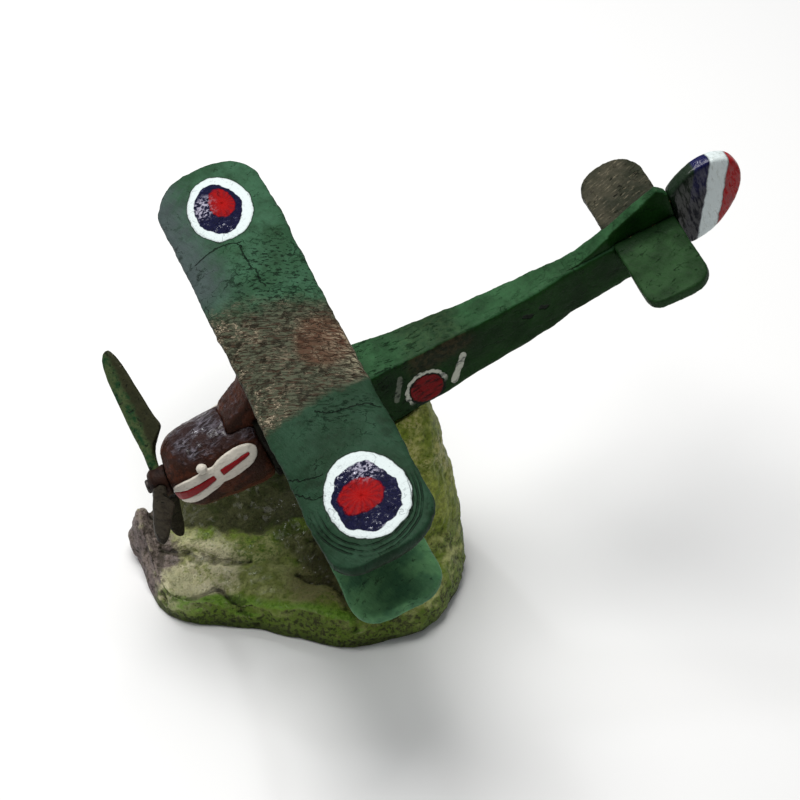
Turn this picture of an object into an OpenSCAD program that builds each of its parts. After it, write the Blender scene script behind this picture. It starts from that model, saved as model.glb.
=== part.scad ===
// Biplane scale model on a rock base: a carved and painted ornament.
// World frame: origin at the middle of the rock's flat underside, +Z up.
// The nose points to -X, the tail to +X, the port wings to -Y.
// Aircraft parts are drawn in the aircraft's own frame and pitched by in_flight().

/* [Attitude] */
// Nose-down pitch of the aircraft over the rock
pitch_down = 18.2; // [17:0.2:19]
// Height of the propeller centre above the table
hub_height = 87.3; // [86:0.1:90]
// Distance of the propeller centre ahead of the rock's middle
hub_ahead = 75; // [74:0.5:76]

/* [Upper wing] */
// Half span of the upper wing
upper_half_span = 153; // [148:0.5:156]
// Chord of the upper wing
upper_chord = 58.5; // [57:0.5:60]
// Station of the upper wing's leading edge aft of the propeller centre
upper_lead = 60; // [59:0.5:61]
// Thickness of the upper wing
upper_thick = 8.5; // [7.5:0.5:9]
// Height of the upper wing's underside above the aircraft axis
upper_under = 38; // [37:0.5:39]
// Turn of the upper wing in plan, as if glued on a touch askew
wing_skew = 0.8; // [0:0.1:1]

/* [Lower wing] */
// Half span of the lower wing
lower_half_span = 136; // [132:0.5:142]
// Chord of the lower wing
lower_chord = 48; // [46:0.5:50]
// Station of the lower wing's leading edge
lower_lead = 61; // [60:0.5:62]
// Thickness of the lower wing
lower_thick = 8; // [7:0.5:8.5]
// Height of the lower wing's underside relative to the aircraft axis
lower_under = -17; // [-18:0.5:-16]

/* [Tail] */
// Half span of the tailplane
tail_half_span = 54; // [50:0.5:58]
// Chord of the tailplane
tail_chord = 34.5; // [32:0.5:34.5]
// Thickness of the tailplane
tail_thick = 6; // [5:0.5:6.5]
// Thickness of the rudder
rudder_thick = 9; // [8:0.5:10]

/* [Propeller] */
// Reach of the longest blade from the shaft
blade_tip = 71.5; // [66:0.5:72]
// Reach of the two shorter blades
blade_short_tip = 57; // [54:0.5:62]
// Widest chord of the longest blade
blade_width = 16; // [14:0.5:17]
// Widest chord of the two shorter blades
blade_short_width = 11; // [10:0.5:13]
// Thickness of a blade
blade_thick = 5; // [4:0.5:5.5]
// Blade angle from the propeller disc
blade_pitch = 65; // [60:1:70]
// Upward tilt of the propeller shaft from the aircraft axis
shaft_tilt = 2; // [1:0.5:3]
// Turn of the propeller shaft to starboard
shaft_yaw = 5; // [3:0.5:6]
// Shaft diameter of the nail that carries the propeller
nail_bore = 3; // [2.5:0.1:3.4]
// Running clearance around the nail, on the radius
run_gap = 0.08; // [0.06:0.01:0.1]

/* [Rock] */
// Height of the rock's front rim
rim_height = 17.5; // [16.5:0.5:18]

/* [Hidden] */

// Colours
rock_colour = [0.50, 0.50, 0.32];
wood_colour = [0.72, 0.56, 0.36];
green = [0.22, 0.34, 0.26];
dark_green = [0.10, 0.17, 0.09];
brown = [0.30, 0.26, 0.20];
nose_brown = [0.20, 0.15, 0.12];
white = [0.86, 0.86, 0.82];
red = [0.60, 0.08, 0.09];
navy = [0.11, 0.12, 0.26];
steel = [0.55, 0.55, 0.55];

// Smoothness of the true curves and of the fine cutting tools
$fn = 64;
eps = 0.01;

// Joinery
dowel_d = 5;
thin_dowel_d = 3;
end_gap = 0.3;

// Fuselage outline stations: distance aft, half width, top, bottom
cowl_end = 57;
stern = 293;
fin_base = 11.8;
stations = [
  [cowl_end, 20.5, 21, -22],
  [100, 16.5, 16.5, -24],
  [138, 12.6, 12.6, -24],
  [174, 10.6, 11, -21.4],
  [213, 8.6, 10.8, -18],
  [230, 6.6, fin_base, -16.1],
  [stern, 3.8, fin_base, -10]
];

// Upper and lower wing
upper_port_round = [18, 28];
upper_starboard_round = [22, 22];
lower_tip_round = 16;
lower_mid = lower_under + lower_thick / 2;
lower_root = 14;
lower_spar_x = [lower_lead + 14, lower_lead + 34];

// Interplane struts
strut_long = 10;
strut_wide = 4.5;
strut_peg_d = 3;
strut_peg = 3;
strut_front_x = 72;
strut_rear_x = 98;
strut_y = 95;
strut_head = upper_under;

// Tail
tail_lead = 258;
tail_top = 13;
tail_mid = tail_top - tail_thick / 2;
tail_root = 3.4;
tail_dowel_x = [268, 281];
fin_start = 230;
fin_foot = 6;
fin_neck = 3.2;
fin_apex = [288.5, 32];

// Propeller frame and parts
hub_r = 8;
hub_half = 5;
washer_thick = 0.8;
washer_r = 6;
seat_x = hub_half + washer_thick;
seat_gap = 0.1;
nail_r = nail_bore / 2;
nail_head_r = 3.6;
nail_head = 1.6;
nail_end = 42;
blade_turns = [44, 164, 284];
hub_mid = 2;
blade_slide = 3.4;
shank_r = 2.8;
shank_in = 3.5;

// Mounting dowels: distance aft of the rock's middle
mount_x = [50, 62];

// ---------------------------------------------------------------- helpers

// Puts an aircraft part into the world frame, pitched nose down
module in_flight() {
  translate([-hub_ahead, 0, hub_height])
    rotate([0, -pitch_down, 0])
      children();
}

// Propeller frame: +X runs aft along the leaning shaft
module on_shaft() {
  in_flight()
    shaft_lean()
      children();
}

// Leans the propeller shaft up and to starboard
module shaft_lean() {
  translate([hub_mid, 0, 0])
    rotate([0, 0, -shaft_yaw])
      rotate([0, shaft_tilt, 0])
        children();
}

// A rod along +X from x0 to x1
module rod_x(d, x0, x1) {
  translate([x0, 0, 0])
    rotate([0, 90, 0])
      cylinder(d = d, h = x1 - x0);
}

// A rod along +Y from y0 to y1
module rod_y(d, y0, y1) {
  translate([0, y1, 0])
    rotate([90, 0, 0])
      cylinder(d = d, h = y1 - y0);
}

// A rod along +Z from z0 to z1
module rod_z(d, z0, z1) {
  translate([0, 0, z0])
    cylinder(d = d, h = z1 - z0);
}

// Extrudes a side view (x, z) across the aircraft between y0 and y1
module side_view(y0, y1) {
  translate([0, y1, 0])
    rotate([90, 0, 0])
      linear_extrude(height = y1 - y0)
        children();
}

// Rectangle x0..x1, y0..y1 with its outboard corners rounded by r_lead and r_trail
module panel_plan(x0, x1, y0, y1, r_lead, r_trail) {
  difference() {
    translate([x0, y0])
      square([x1 - x0, y1 - y0]);
    translate([x0, y1])
      mirror([0, 1])
        corner_waste(r_lead);
    translate([x1, y1])
      mirror([1, 0])
        mirror([0, 1])
          corner_waste(r_trail);
  }
}

// The waste outside a rounded corner at the origin
module corner_waste(r) {
  difference() {
    translate([-1, -1])
      square([r + 1, r + 1]);
    translate([r, r])
      circle(r = r);
  }
}

// Wing section: flat underside, arched top, round nose
module wing_section(chord, thick) {
  nose_r = thick * 0.42;
  arch_r = (chord * chord / 4 + thick * thick * 0.25) / thick;
  intersection() {
    translate([0, 0])
      square([chord, thick]);
    translate([chord * 0.46, thick - arch_r])
      circle(r = arch_r, $fn = 180);
    union() {
      translate([nose_r, 0])
        square([chord, thick]);
      translate([nose_r, nose_r])
        circle(r = nose_r);
      translate([0, nose_r])
        square([nose_r + eps, thick]);
    }
  }
}

// ------------------------------------------------------------------- rock

// Outline of the rock: angle from the tail direction, reach
rock_outline = [
  [-180, 80], [-172, 76.5], [-166.5, 71], [-154, 57], [-135, 47.5], [-106.5, 50],
  [-84.5, 62.5], [-64.5, 70], [-51.5, 79.5], [-45.5, 80], [-33.5, 83], [-18.5, 84.5],
  [-3.5, 84], [14.5, 81], [38.5, 77], [63, 67], [99, 62], [127, 73], [142, 89],
  [151, 92.5], [162, 85], [176.5, 80.5], [180, 80]
];
function rock_reach(a) = lookup(a > 180 ? a - 360 : a, rock_outline);

// A soft bump of height 1 centred at c with spreads w
function bump(x, y, c, w) = exp(-pow((x - c[0]) / w[0], 2) - pow((y - c[1]) / w[1], 2));

// Height of the rock's top at x, y: a low shelf that climbs aft to a crag
crag_at = [54, 2];
crag_front = 46;
crag_back = 31;
crag_side = 40;
crag_top = 112;
function crag(x, y) =
  let (dx = (x - crag_at[0]) / (x < crag_at[0] ? crag_front : crag_back))
  let (dy = (y - crag_at[1]) / crag_side)
  let (d = min(1, sqrt(dx * dx + dy * dy)))
  (crag_top - rim_height) * pow(max(0, cos(90 * d)), 0.7);
function rock_top(x, y) =
  rim_height
  + 0.07 * max(0, x + 50) + 0.05 * max(0, y + 10)
  + 0.8 * sin(9 * x + 3 * y) + 0.7 * sin(7 * y - 4 * x)
  - 6 * bump(x, y, [-61, 0], [13, 20])
  + 12 * bump(x, y, [-78, 46], [8, 17])
  + crag(x, y);

rock_rings = [0, 0.12, 0.24, 0.36, 0.48, 0.6, 0.7, 0.8, 0.88, 0.95];
rock_steps = 60;

module rock_body() {
  n = rock_steps;
  step = 360 / n;
  ring_points = [
    for (f = rock_rings)
      if (f > 0)
        for (k = [0 : n - 1])
          let (a = k * step)
          let (reach = f * rock_reach(a))
          [reach * cos(a), reach * sin(a), rock_top(reach * cos(a), reach * sin(a))]
  ];
  skirt = [
    for (side = [[1.0, 0.62], [1.015, 0.3], [0.985, 0]])
      for (k = [0 : n - 1])
        let (a = k * step)
        let (reach = side[0] * rock_reach(a))
        let (x = reach * cos(a))
        let (y = reach * sin(a))
        [x, y, side[1] * rock_top(x * 0.95, y * 0.95)]
  ];
  points = concat([[0, 0, rock_top(0, 0)]], ring_points, skirt, [[0, 0, 0]]);
  rings = len(rock_rings) - 1 + 3;
  last = len(points) - 1;
  faces = concat(
    [for (k = [0 : n - 1]) [0, 1 + (k + 1) % n, 1 + k]],
    [
      for (r = [0 : rings - 2])
        for (k = [0 : n - 1])
          let (a = 1 + r * n + k)
          let (b = 1 + r * n + (k + 1) % n)
          [a, b, b + n]
    ],
    [
      for (r = [0 : rings - 2])
        for (k = [0 : n - 1])
          let (a = 1 + r * n + k)
          let (b = 1 + r * n + (k + 1) % n)
          [a, b + n, a + n]
    ],
    [for (k = [0 : n - 1]) [last, 1 + (rings - 1) * n + k, 1 + (rings - 1) * n + (k + 1) % n]]
  );
  polyhedron(points = points, faces = faces, convexity = 6);
}

module rock_base() {
  color(rock_colour)
    difference() {
      rock_body();
      in_flight()
        fuselage_blank();
      mount_dowel(0);
      mount_dowel(1);
    }
}

// -------------------------------------------------------- mounting dowels

mount_foot = 40;
mount_head = [115, 118];

// One upright dowel from inside the rock into the fuselage
module mount_dowel(i) {
  translate([mount_x[i], 0, 0])
    rod_z(dowel_d, mount_foot, mount_head[i]);
}

module mount_dowel_front() {
  color(wood_colour)
    mount_dowel(0);
}

module mount_dowel_rear() {
  color(wood_colour)
    mount_dowel(1);
}

// --------------------------------------------------------------- fuselage

// Plan and side outlines meet in one boxy, tapering body
module fuselage_blank() {
  n = len(stations) - 1;
  plan = concat(
    [for (i = [0 : n]) [stations[i][0], stations[i][1]]],
    [for (i = [0 : n]) [stations[n - i][0], -stations[n - i][1]]]
  );
  side = concat(
    [for (i = [0 : n]) [stations[i][0], stations[i][2]]],
    [for (i = [0 : n]) [stations[n - i][0], stations[n - i][3]]]
  );
  intersection() {
    translate([0, 0, -40])
      linear_extrude(height = 80)
        polygon(plan);
    side_view(-30, 30)
      polygon(side);
    fuselage_rounder();
  }
}

// A slim body of revolution that takes the sharp corners off the box
module fuselage_rounder() {
  n = len(stations) - 1;
  rotate([0, 90, 0])
    rotate_extrude()
      polygon(concat(
        [[0, stations[0][0] - 1]],
        [
          for (i = [0 : n])
            let (s = stations[i])
            let (deep = max(s[2], -s[3]))
            [sqrt(s[1] * s[1] + deep * deep) * (i == 0 ? 0.8 : 0.93),
             s[0] + (i == 0 ? -1 : (i == n ? 1 : 0))]
        ],
        [[0, stations[n][0] + 1]]
      ));
}

module fuselage() {
  color(dark_green)
    difference() {
      in_flight()
        fuselage_blank();
      mount_dowel(0);
      mount_dowel(1);
      in_flight() {
        cowl_dowel_rod();
        fairing_dowel_rods();
        cabane_block();
        lower_spars();
        lower_wing_half(-1);
        lower_wing_half(1);
        tail_spars();
        tail_half(-1);
        tail_half(1);
        fin_rod();
        rudder_rods();
      }
    }
}

// -------------------------------------------------------------- nose cowl

cowl_front = 6;
cowl_profile = [
  [9, cowl_front], [12.4, cowl_front + 1.8], [15.6, cowl_front + 4],
  [18.2, cowl_front + 7.2], [20, cowl_front + 11.2], [21, cowl_front + 15],
  [21.5, 32], [22.6, 50], [22, 55], [20.4, cowl_end]
];

module cowl_blank() {
  difference() {
    rotate([0, 90, 0])
      rotate_extrude()
        polygon(concat([[0, cowl_front]], cowl_profile, [[0, cowl_end]]));
    shaft_lean()
      translate([seat_x - 40, -20, -20])
        cube([40, 40, 40]);
  }
}

module nose_cowl() {
  color(nose_brown)
    difference() {
      in_flight()
        difference() {
          cowl_blank();
          cowl_dowel_rod();
          cabane_block();
          for (side = [-1, 1])
            flash_plates(side);
        }
      on_shaft()
        rod_x(nail_bore, 0, nail_end);
    }
}

module cowl_dowel_rod() {
  rod_x(8, cowl_end - 10, cowl_end + 14);
}

module cowl_dowel() {
  color(wood_colour)
    in_flight()
      cowl_dowel_rod();
}

// --------------------------------------------------------- cabane fairing

cabane_half = 10.5;

// The block that carries the upper wing, sloped like a windscreen in front
module cabane_block() {
  side_view(-cabane_half, cabane_half)
    polygon([
      [43, 18], [46, 24.5], [58, 31.5], [63, upper_under], [108, upper_under], [114, 12], [60, 15]
    ]);
}

fairing_dowel_x = [74, 100];

module fairing_dowel_rods() {
  for (x = fairing_dowel_x)
    translate([x, 0, 0])
      rod_z(dowel_d, 4, upper_under + 5);
}

module cabane_fairing() {
  color(nose_brown)
    in_flight()
      difference() {
        cabane_block();
        fairing_dowel_rods();
      }
}

module fairing_dowels() {
  color(wood_colour)
    in_flight()
      fairing_dowel_rods();
}

// ------------------------------------------------------------------ wings

// The upper wing about its own middle, before it is turned and drilled
module upper_blank() {
  half_chord = upper_chord / 2;
  intersection() {
    translate([-half_chord, 0, 0])
      side_view(-upper_half_span, upper_half_span)
        wing_section(upper_chord, upper_thick);
    translate([0, 0, -1])
      linear_extrude(height = upper_thick + 2)
        for (side = [-1, 1])
          mirror([0, side < 0 ? 1 : 0])
            upper_plan_half(half_chord, side < 0 ? upper_port_round : upper_starboard_round);
  }
}

// Half of the upper wing in plan, its tip rounded by tip[0] in front and tip[1] behind
module upper_plan_half(half_chord, tip) {
  panel_plan(-half_chord, half_chord, -eps, upper_half_span, tip[0], tip[1]);
}

module upper_wing() {
  color(green)
    in_flight()
      difference() {
        translate([upper_lead + upper_chord / 2, 0, upper_under])
          rotate([0, 0, wing_skew])
            upper_blank();
        fairing_dowel_rods();
        strut_pegs();
      }
}

// One lower wing panel, side = -1 for port and 1 for starboard
module lower_wing_half(side) {
  intersection() {
    translate([lower_lead, 0, lower_under])
      side_view(-lower_half_span, lower_half_span)
        wing_section(lower_chord, lower_thick);
    translate([0, 0, lower_under - 1])
      linear_extrude(height = lower_thick + 2)
        mirror([0, side < 0 ? 1 : 0])
          panel_plan(lower_lead, lower_lead + lower_chord, lower_root, lower_half_span,
                     lower_tip_round, lower_tip_round);
  }
}

module lower_spars() {
  for (x = lower_spar_x)
    translate([x, 0, lower_mid - 0.8])
      rod_y(thin_dowel_d, -34, 34);
}

module lower_wing(side) {
  in_flight()
    difference() {
      lower_wing_half(side);
      lower_spars();
      strut_pegs();
    }
}

module lower_wing_port() {
  color(green)
    lower_wing(-1);
}

module lower_wing_starboard() {
  color(green)
    lower_wing(1);
}

module lower_wing_dowels() {
  color(wood_colour)
    in_flight()
      lower_spars();
}

// ----------------------------------------------------------------- struts

// Round pegs at both ends of every strut
module strut_pegs() {
  for (x = [strut_front_x, strut_rear_x])
    for (y = [-strut_y, strut_y])
      translate([x, y, 0])
        strut_peg_pair(x);
}

// Top of the lower wing under a strut
function strut_seat(x) =
  let (thick = lower_thick)
  let (arch = (lower_chord * lower_chord / 4 + thick * thick * 0.25) / thick)
  let (dx = x - lower_lead - lower_chord * 0.46)
  lower_under + thick - arch + sqrt(arch * arch - dx * dx);

module strut_peg_pair(x) {
  rod_z(strut_peg_d, strut_seat(x) - strut_peg, strut_seat(x) + 1);
  rod_z(strut_peg_d, strut_head - 1, strut_head + strut_peg);
}

// Streamlined strut between the wings
module strut_at(x, y) {
  translate([x, y, 0])
    union() {
      difference() {
        translate([0, 0, lower_under])
          linear_extrude(height = strut_head - lower_under)
            strut_section();
        translate([-x, -y, 0])
          translate([lower_lead, 0, lower_under])
            side_view(-lower_half_span, lower_half_span)
              wing_section(lower_chord, lower_thick);
      }
      strut_peg_pair(x);
    }
}

module strut_section() {
  lens_r = (strut_long * strut_long + strut_wide * strut_wide) / (4 * strut_wide);
  intersection() {
    translate([0, lens_r - strut_wide / 2])
      circle(r = lens_r);
    translate([0, strut_wide / 2 - lens_r])
      circle(r = lens_r);
  }
}

module strut_port_front() {
  color(dark_green)
    in_flight()
      strut_at(strut_front_x, -strut_y);
}

module strut_port_rear() {
  color(dark_green)
    in_flight()
      strut_at(strut_rear_x, -strut_y);
}

module strut_starboard_front() {
  color(dark_green)
    in_flight()
      strut_at(strut_front_x, strut_y);
}

module strut_starboard_rear() {
  color(dark_green)
    in_flight()
      strut_at(strut_rear_x, strut_y);
}

// ------------------------------------------------------------------- tail

// One tailplane, side = -1 for the squarer port tip and 1 for the rounder starboard tip
module tail_half(side) {
  tip_lead = side < 0 ? 8 : 17;
  tip_trail = side < 0 ? 11 : 16;
  translate([0, 0, tail_top - tail_thick])
    linear_extrude(height = tail_thick)
      mirror([0, side < 0 ? 1 : 0])
        panel_plan(tail_lead, tail_lead + tail_chord, tail_root, tail_half_span,
                   tip_lead, tip_trail);
}

module tail_spars() {
  for (x = tail_dowel_x)
    translate([x, 0, tail_mid])
      rod_y(thin_dowel_d, -14, 14);
}

module tailplane_port() {
  color(green)
    in_flight()
      difference() {
        tail_half(-1);
        tail_spars();
      }
}

module tailplane_starboard() {
  color(brown)
    in_flight()
      difference() {
        tail_half(1);
        tail_spars();
      }
}

module tailplane_dowels() {
  color(wood_colour)
    in_flight()
      tail_spars();
}

// Triangular fin: wide where it grows out of the fuselage, waisted between the tailplanes
module fin_blank() {
  intersection() {
    side_view(-fin_foot, fin_foot)
      polygon([
        [fin_start, fin_base], [fin_start, fin_base + 0.3], [240, 13.4], [250, 16.6],
        fin_apex, [stern, 27], [stern, fin_base]
      ]);
    translate([fin_start, 0, 0])
      rotate([90, 0, 90])
        linear_extrude(height = stern - fin_start)
          polygon([[-fin_foot, fin_base], [fin_foot, fin_base], [2, fin_apex[1]], [-2, fin_apex[1]]]);
    linear_extrude(height = 2 * fin_apex[1])
      polygon([
        [fin_start, -fin_foot], [tail_lead - 1, -fin_neck - 1], [tail_lead - 1, -fin_neck],
        [stern, -fin_neck], [stern, fin_neck], [tail_lead - 1, fin_neck],
        [tail_lead - 1, fin_neck + 1], [fin_start, fin_foot]
      ]);
  }
}

module fin_rod() {
  translate([276, 0, 0])
    rod_z(thin_dowel_d, 2, 18);
}

module fin() {
  color(dark_green)
    in_flight()
      difference() {
        fin_blank();
        fin_rod();
        rudder_rods();
      }
}

module fin_dowel() {
  color(wood_colour)
    in_flight()
      fin_rod();
}

// Rudder outline: an oval raked aft, cut straight along the stern
rudder_centre = [307.2, 12.5];
rudder_semi = [19.1, 28];
rudder_rake = 50;
rudder_steps = 48;

module rudder_blank() {
  side_view(-rudder_thick / 2, rudder_thick / 2)
    intersection() {
      translate(rudder_centre)
        rotate(-rudder_rake)
          polygon([
            for (k = [0 : rudder_steps - 1])
              let (a = k * 360 / rudder_steps)
              [rudder_semi[0] * cos(a), rudder_semi[1] * sin(a)]
          ]);
      translate([stern, -40])
        square([60, 100]);
    }
}

rudder_rod_z = [-4, 20];

module rudder_rods() {
  for (z = rudder_rod_z)
    translate([0, 0, z])
      rod_x(2, stern - 7, stern + 8);
}

module rudder() {
  color(navy)
    in_flight()
      difference() {
        rudder_blank();
        rudder_rods();
      }
}

module rudder_dowels() {
  color(wood_colour)
    in_flight()
      rudder_rods();
}

// -------------------------------------------------------------- propeller

module prop_hub() {
  color(nose_brown)
    on_shaft()
      difference() {
        rotate([0, 90, 0])
          rotate_extrude()
            polygon([
              [nail_r + run_gap, -hub_half], [hub_r - 2.4, -hub_half],
              [hub_r, -hub_half + 2.4], [hub_r, hub_half], [nail_r + run_gap, hub_half]
            ]);
        for (turn = blade_turns)
          rotate([-turn, 0, 0])
            rod_z(2 * shank_r, shank_in, hub_r + 4);
      }
}

// Outline of a blade, widest near the root: outward station, forward and aft edge (parts of the chord)
blade_outline = [
  [hub_r + 0.6, 0.12, 0.12], [12, 0.12, 0.16], [15, 0.13, 0.22], [18, 0.16, 0.33],
  [22, 0.20, 0.56], [25, 0.235, 0.76], [27, 0.25, 0.79], [32, 0.28, 0.67], [38, 0.305, 0.575],
  [44, 0.35, 0.49], [50, 0.38, 0.41], [56, 0.40, 0.33], [62, 0.375, 0.235], [66, 0.32, 0.14],
  [68.6, 0.22, 0.04], [70, 0.08, -0.04]
];

// One hand-cut blade standing on its shank; forward slides its leaf towards the nose
module blade_blank(tip, width, forward) {
  count = len(blade_outline);
  root = blade_outline[0][0];
  stretch = (tip - root) / (blade_outline[count - 1][0] - root);
  rod_z(2 * shank_r, shank_in, 14);
  rotate([0, 0, blade_pitch - 90])
    translate([0, blade_thick / 2, 0])
      rotate([90, 0, 0])
        linear_extrude(height = blade_thick)
          polygon(concat(
            [for (p = blade_outline) [p[2] * width - forward, root + (p[0] - root) * stretch]],
            [
              for (i = [0 : count - 1])
                let (p = blade_outline[count - 1 - i])
                [-p[1] * width - forward, root + (p[0] - root) * stretch]
            ]
          ));
}

module prop_blade(i) {
  on_shaft()
    rotate([-blade_turns[i], 0, 0])
      if (i == 0)
        blade_blank(blade_tip, blade_width, 0);
      else
        blade_blank(blade_short_tip, blade_short_width, blade_slide);
}

module prop_blade_top() {
  color(dark_green)
    prop_blade(0);
}

module prop_blade_low() {
  color(dark_green)
    prop_blade(1);
}

module prop_blade_port() {
  color(dark_green)
    prop_blade(2);
}

module prop_nail() {
  color(steel)
    on_shaft()
      rotate([0, 90, 0])
        rotate_extrude()
          polygon([
            [0, -hub_half - end_gap - nail_head], [nail_head_r - 0.5, -hub_half - end_gap - nail_head],
            [nail_head_r, -hub_half - end_gap - nail_head + 0.6], [nail_head_r, -hub_half - end_gap],
            [nail_r, -hub_half - end_gap], [nail_r, nail_end], [0, nail_end]
          ]);
}

module prop_washer() {
  color(steel)
    on_shaft()
      rotate([0, 90, 0])
        rotate_extrude()
          polygon([
            [nail_r, hub_half + seat_gap], [washer_r, hub_half + seat_gap],
            [washer_r, seat_x], [nail_r, seat_x]
          ]);
}

// ------------------------------------------------------------ nose flashes

flash_turn = [19, 7];
flash_rise = 12;
flash_mid = 31;
flash_depth = 1;
flash_proud = 1.3;

// One half of the white flash: distance from the cut between the halves, half width
flash_leaf = [
  [0.25, 5.2], [4, 6.1], [9, 6.4], [14, 6.1], [18, 5.2], [21, 3.8], [22.8, 1.9], [23.5, 0.4]
];

// The port flash's front half is longer and blunter
flash_blunt_leaf = [
  [0.25, 5.2], [4, 6.1], [10, 6.6], [17, 6.8], [20.5, 6.2], [22.7, 4.8], [23.7, 3.2], [24.1, 1.6]
];

// The red bar inside each half; the front bar widens and runs out at the nose
flash_front_bar = [[2, 1.4], [26, 2.8]];
flash_rear_bar = [[2, 1.7], [19, 0.7]];

// A strip with a straight middle line, from its distances and half widths
module strip(edge) {
  count = len(edge);
  polygon(concat(edge, [for (i = [1 : count]) [edge[count - i][0], -edge[count - i][1]]]));
}

// Side outline of one half of the white flash
module flash_outline(side, front) {
  mirror([front ? 1 : 0, 0])
    strip(front && side < 0 ? flash_blunt_leaf : flash_leaf);
}

// Side outline of the red bar inside one half
module flash_bar(front) {
  mirror([front ? 1 : 0, 0])
    strip(front ? flash_front_bar : flash_rear_bar);
}

// Part of a skin around the cowl, from depth below its surface to proud above it
module cowl_skin(depth, proud) {
  rotate([0, 90, 0])
    rotate_extrude()
      polygon(concat(
        [for (p = cowl_profile) [p[0] + proud, p[1] - proud * 0.3]],
        [for (i = [len(cowl_profile) - 1 : -1 : 0]) [cowl_profile[i][0] - depth, cowl_profile[i][1]]]
      ));
}

// A side outline pushed through the cowl's flank; side = -1 is port
module on_flank(side) {
  mirror([0, side < 0 ? 0 : 1])
    rotate([-flash_turn[side < 0 ? 0 : 1], 0, 0])
      translate([flash_mid, -30, 0])
        rotate([90, 0, 0])
          mirror([0, 0, 1])
            linear_extrude(height = 24)
              rotate(flash_rise)
                children();
}

module flash_plates(side) {
  for (front = [true, false])
    intersection() {
      cowl_skin(flash_depth, flash_proud);
      on_flank(side)
        flash_outline(side, front);
    }
}

// The red bars, standing out of the cowl by proud
module flash_bars(side, proud) {
  for (front = [true, false])
    intersection() {
      cowl_skin(flash_depth - 0.5, proud);
      on_flank(side)
        intersection() {
          flash_outline(side, front);
          flash_bar(front);
        }
    }
}

module flash_white(side) {
  difference() {
    flash_plates(side);
    flash_bars(side, flash_proud + 1);
    if (side < 0)
      bead_ball();
  }
}

// Painted bead beside the port flash, sunk a little into it
bead_r = 2.7;
bead_out = 24.6;
bead_turn = 18;

module bead_ball() {
  rotate([-flash_turn[0] - bead_turn, 0, 0])
    translate([flash_mid - 6, -bead_out, 0])
      sphere(r = bead_r);
}

module flash_port_white() {
  color(white)
    in_flight()
      flash_white(-1);
}

module flash_port_red() {
  color(red)
    in_flight()
      flash_bars(-1, flash_proud + 0.2);
}

module flash_port_bead() {
  color(white)
    in_flight()
      bead_ball();
}

module flash_starboard_white() {
  color(white)
    in_flight()
      flash_white(1);
}

module flash_starboard_red() {
  color(red)
    in_flight()
      flash_bars(1, flash_proud + 0.2);
}

// --------------------------------------------------------------- assembly

rock_base();
mount_dowel_front();
mount_dowel_rear();
fuselage();
nose_cowl();
cowl_dowel();
cabane_fairing();
fairing_dowels();
upper_wing();
lower_wing_port();
lower_wing_starboard();
lower_wing_dowels();
strut_port_front();
strut_port_rear();
strut_starboard_front();
strut_starboard_rear();
tailplane_port();
tailplane_starboard();
tailplane_dowels();
fin();
fin_dowel();
rudder();
rudder_dowels();
prop_hub();
prop_blade_top();
prop_blade_port();
prop_blade_low();
prop_nail();
prop_washer();
flash_port_white();
flash_port_red();
flash_port_bead();
flash_starboard_white();
flash_starboard_red();
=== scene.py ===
"""Looks of the biplane scale model: carved, hand-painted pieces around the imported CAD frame.

Lengths are in metres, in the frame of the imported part, unless a comment says millimetres.
The aircraft's paint is placed in millimetres in its own axes: x aft from the propeller,
y to starboard, z up. The rock's paint is placed in millimetres in the part's frame.
"""

import math

import bpy
import bmesh
import numpy as np
from mathutils import Euler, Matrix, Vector


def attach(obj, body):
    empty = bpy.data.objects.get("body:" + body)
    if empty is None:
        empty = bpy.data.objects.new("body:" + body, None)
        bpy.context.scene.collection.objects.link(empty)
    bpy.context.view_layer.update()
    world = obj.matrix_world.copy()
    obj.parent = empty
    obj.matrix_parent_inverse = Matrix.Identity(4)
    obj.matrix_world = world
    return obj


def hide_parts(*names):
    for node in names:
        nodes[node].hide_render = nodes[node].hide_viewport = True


MM = 0.001

# Attitude of the aircraft over the rock, and the origin of its own axes
PITCH = math.radians(18.2)
PROP_CENTRE = Vector((-0.075, 0.0, 0.0873))

# Share of the way to its neighbours' middle that a point moves in one rounding pass
RELAX_STEP = 0.6
# Two points of a CAD mesh closer than this are one point, in metres
SAME_POINT = 0.00001
# Random values in a noise table, and the large primes that pick one for a cell
TABLE_SIZE = 4096
CELL_PRIMES = (73856093, 19349663, 83492791)

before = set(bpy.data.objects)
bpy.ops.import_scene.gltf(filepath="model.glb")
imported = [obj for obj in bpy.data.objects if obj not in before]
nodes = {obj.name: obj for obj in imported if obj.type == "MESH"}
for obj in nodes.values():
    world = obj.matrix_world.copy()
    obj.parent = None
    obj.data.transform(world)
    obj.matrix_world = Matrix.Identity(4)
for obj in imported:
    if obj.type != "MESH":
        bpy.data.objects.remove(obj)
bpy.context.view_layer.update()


# ---------------------------------------------------------------- mesh tools


def lattice_noise(points, size, seed):
    """Smooth random values from -1 to 1 at the points, with features of the given size in metres."""
    rng = np.random.default_rng(seed)
    table = rng.uniform(-1.0, 1.0, TABLE_SIZE)
    scaled = points / size + rng.uniform(0.0, 100.0, 3)
    cell = np.floor(scaled).astype(np.int64)
    part = scaled - cell
    part = part * part * (3.0 - 2.0 * part)
    total = np.zeros(len(points))
    for corner in np.ndindex(2, 2, 2):
        weight = np.ones(len(points))
        for axis in range(3):
            weight *= part[:, axis] if corner[axis] else 1.0 - part[:, axis]
        at = cell + np.array(corner)
        mixed = at * np.array(CELL_PRIMES)
        index = mixed[:, 0] ^ mixed[:, 1] ^ mixed[:, 2]
        total += weight * table[index & (TABLE_SIZE - 1)]
    return total


def rough_noise(points, size, seed, octaves=3):
    """Several layers of lattice noise, each half the size and height of the last."""
    total = np.zeros(len(points))
    for octave in range(octaves):
        total += lattice_noise(points, size / 2**octave, seed + octave) / 2**octave
    return total


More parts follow.
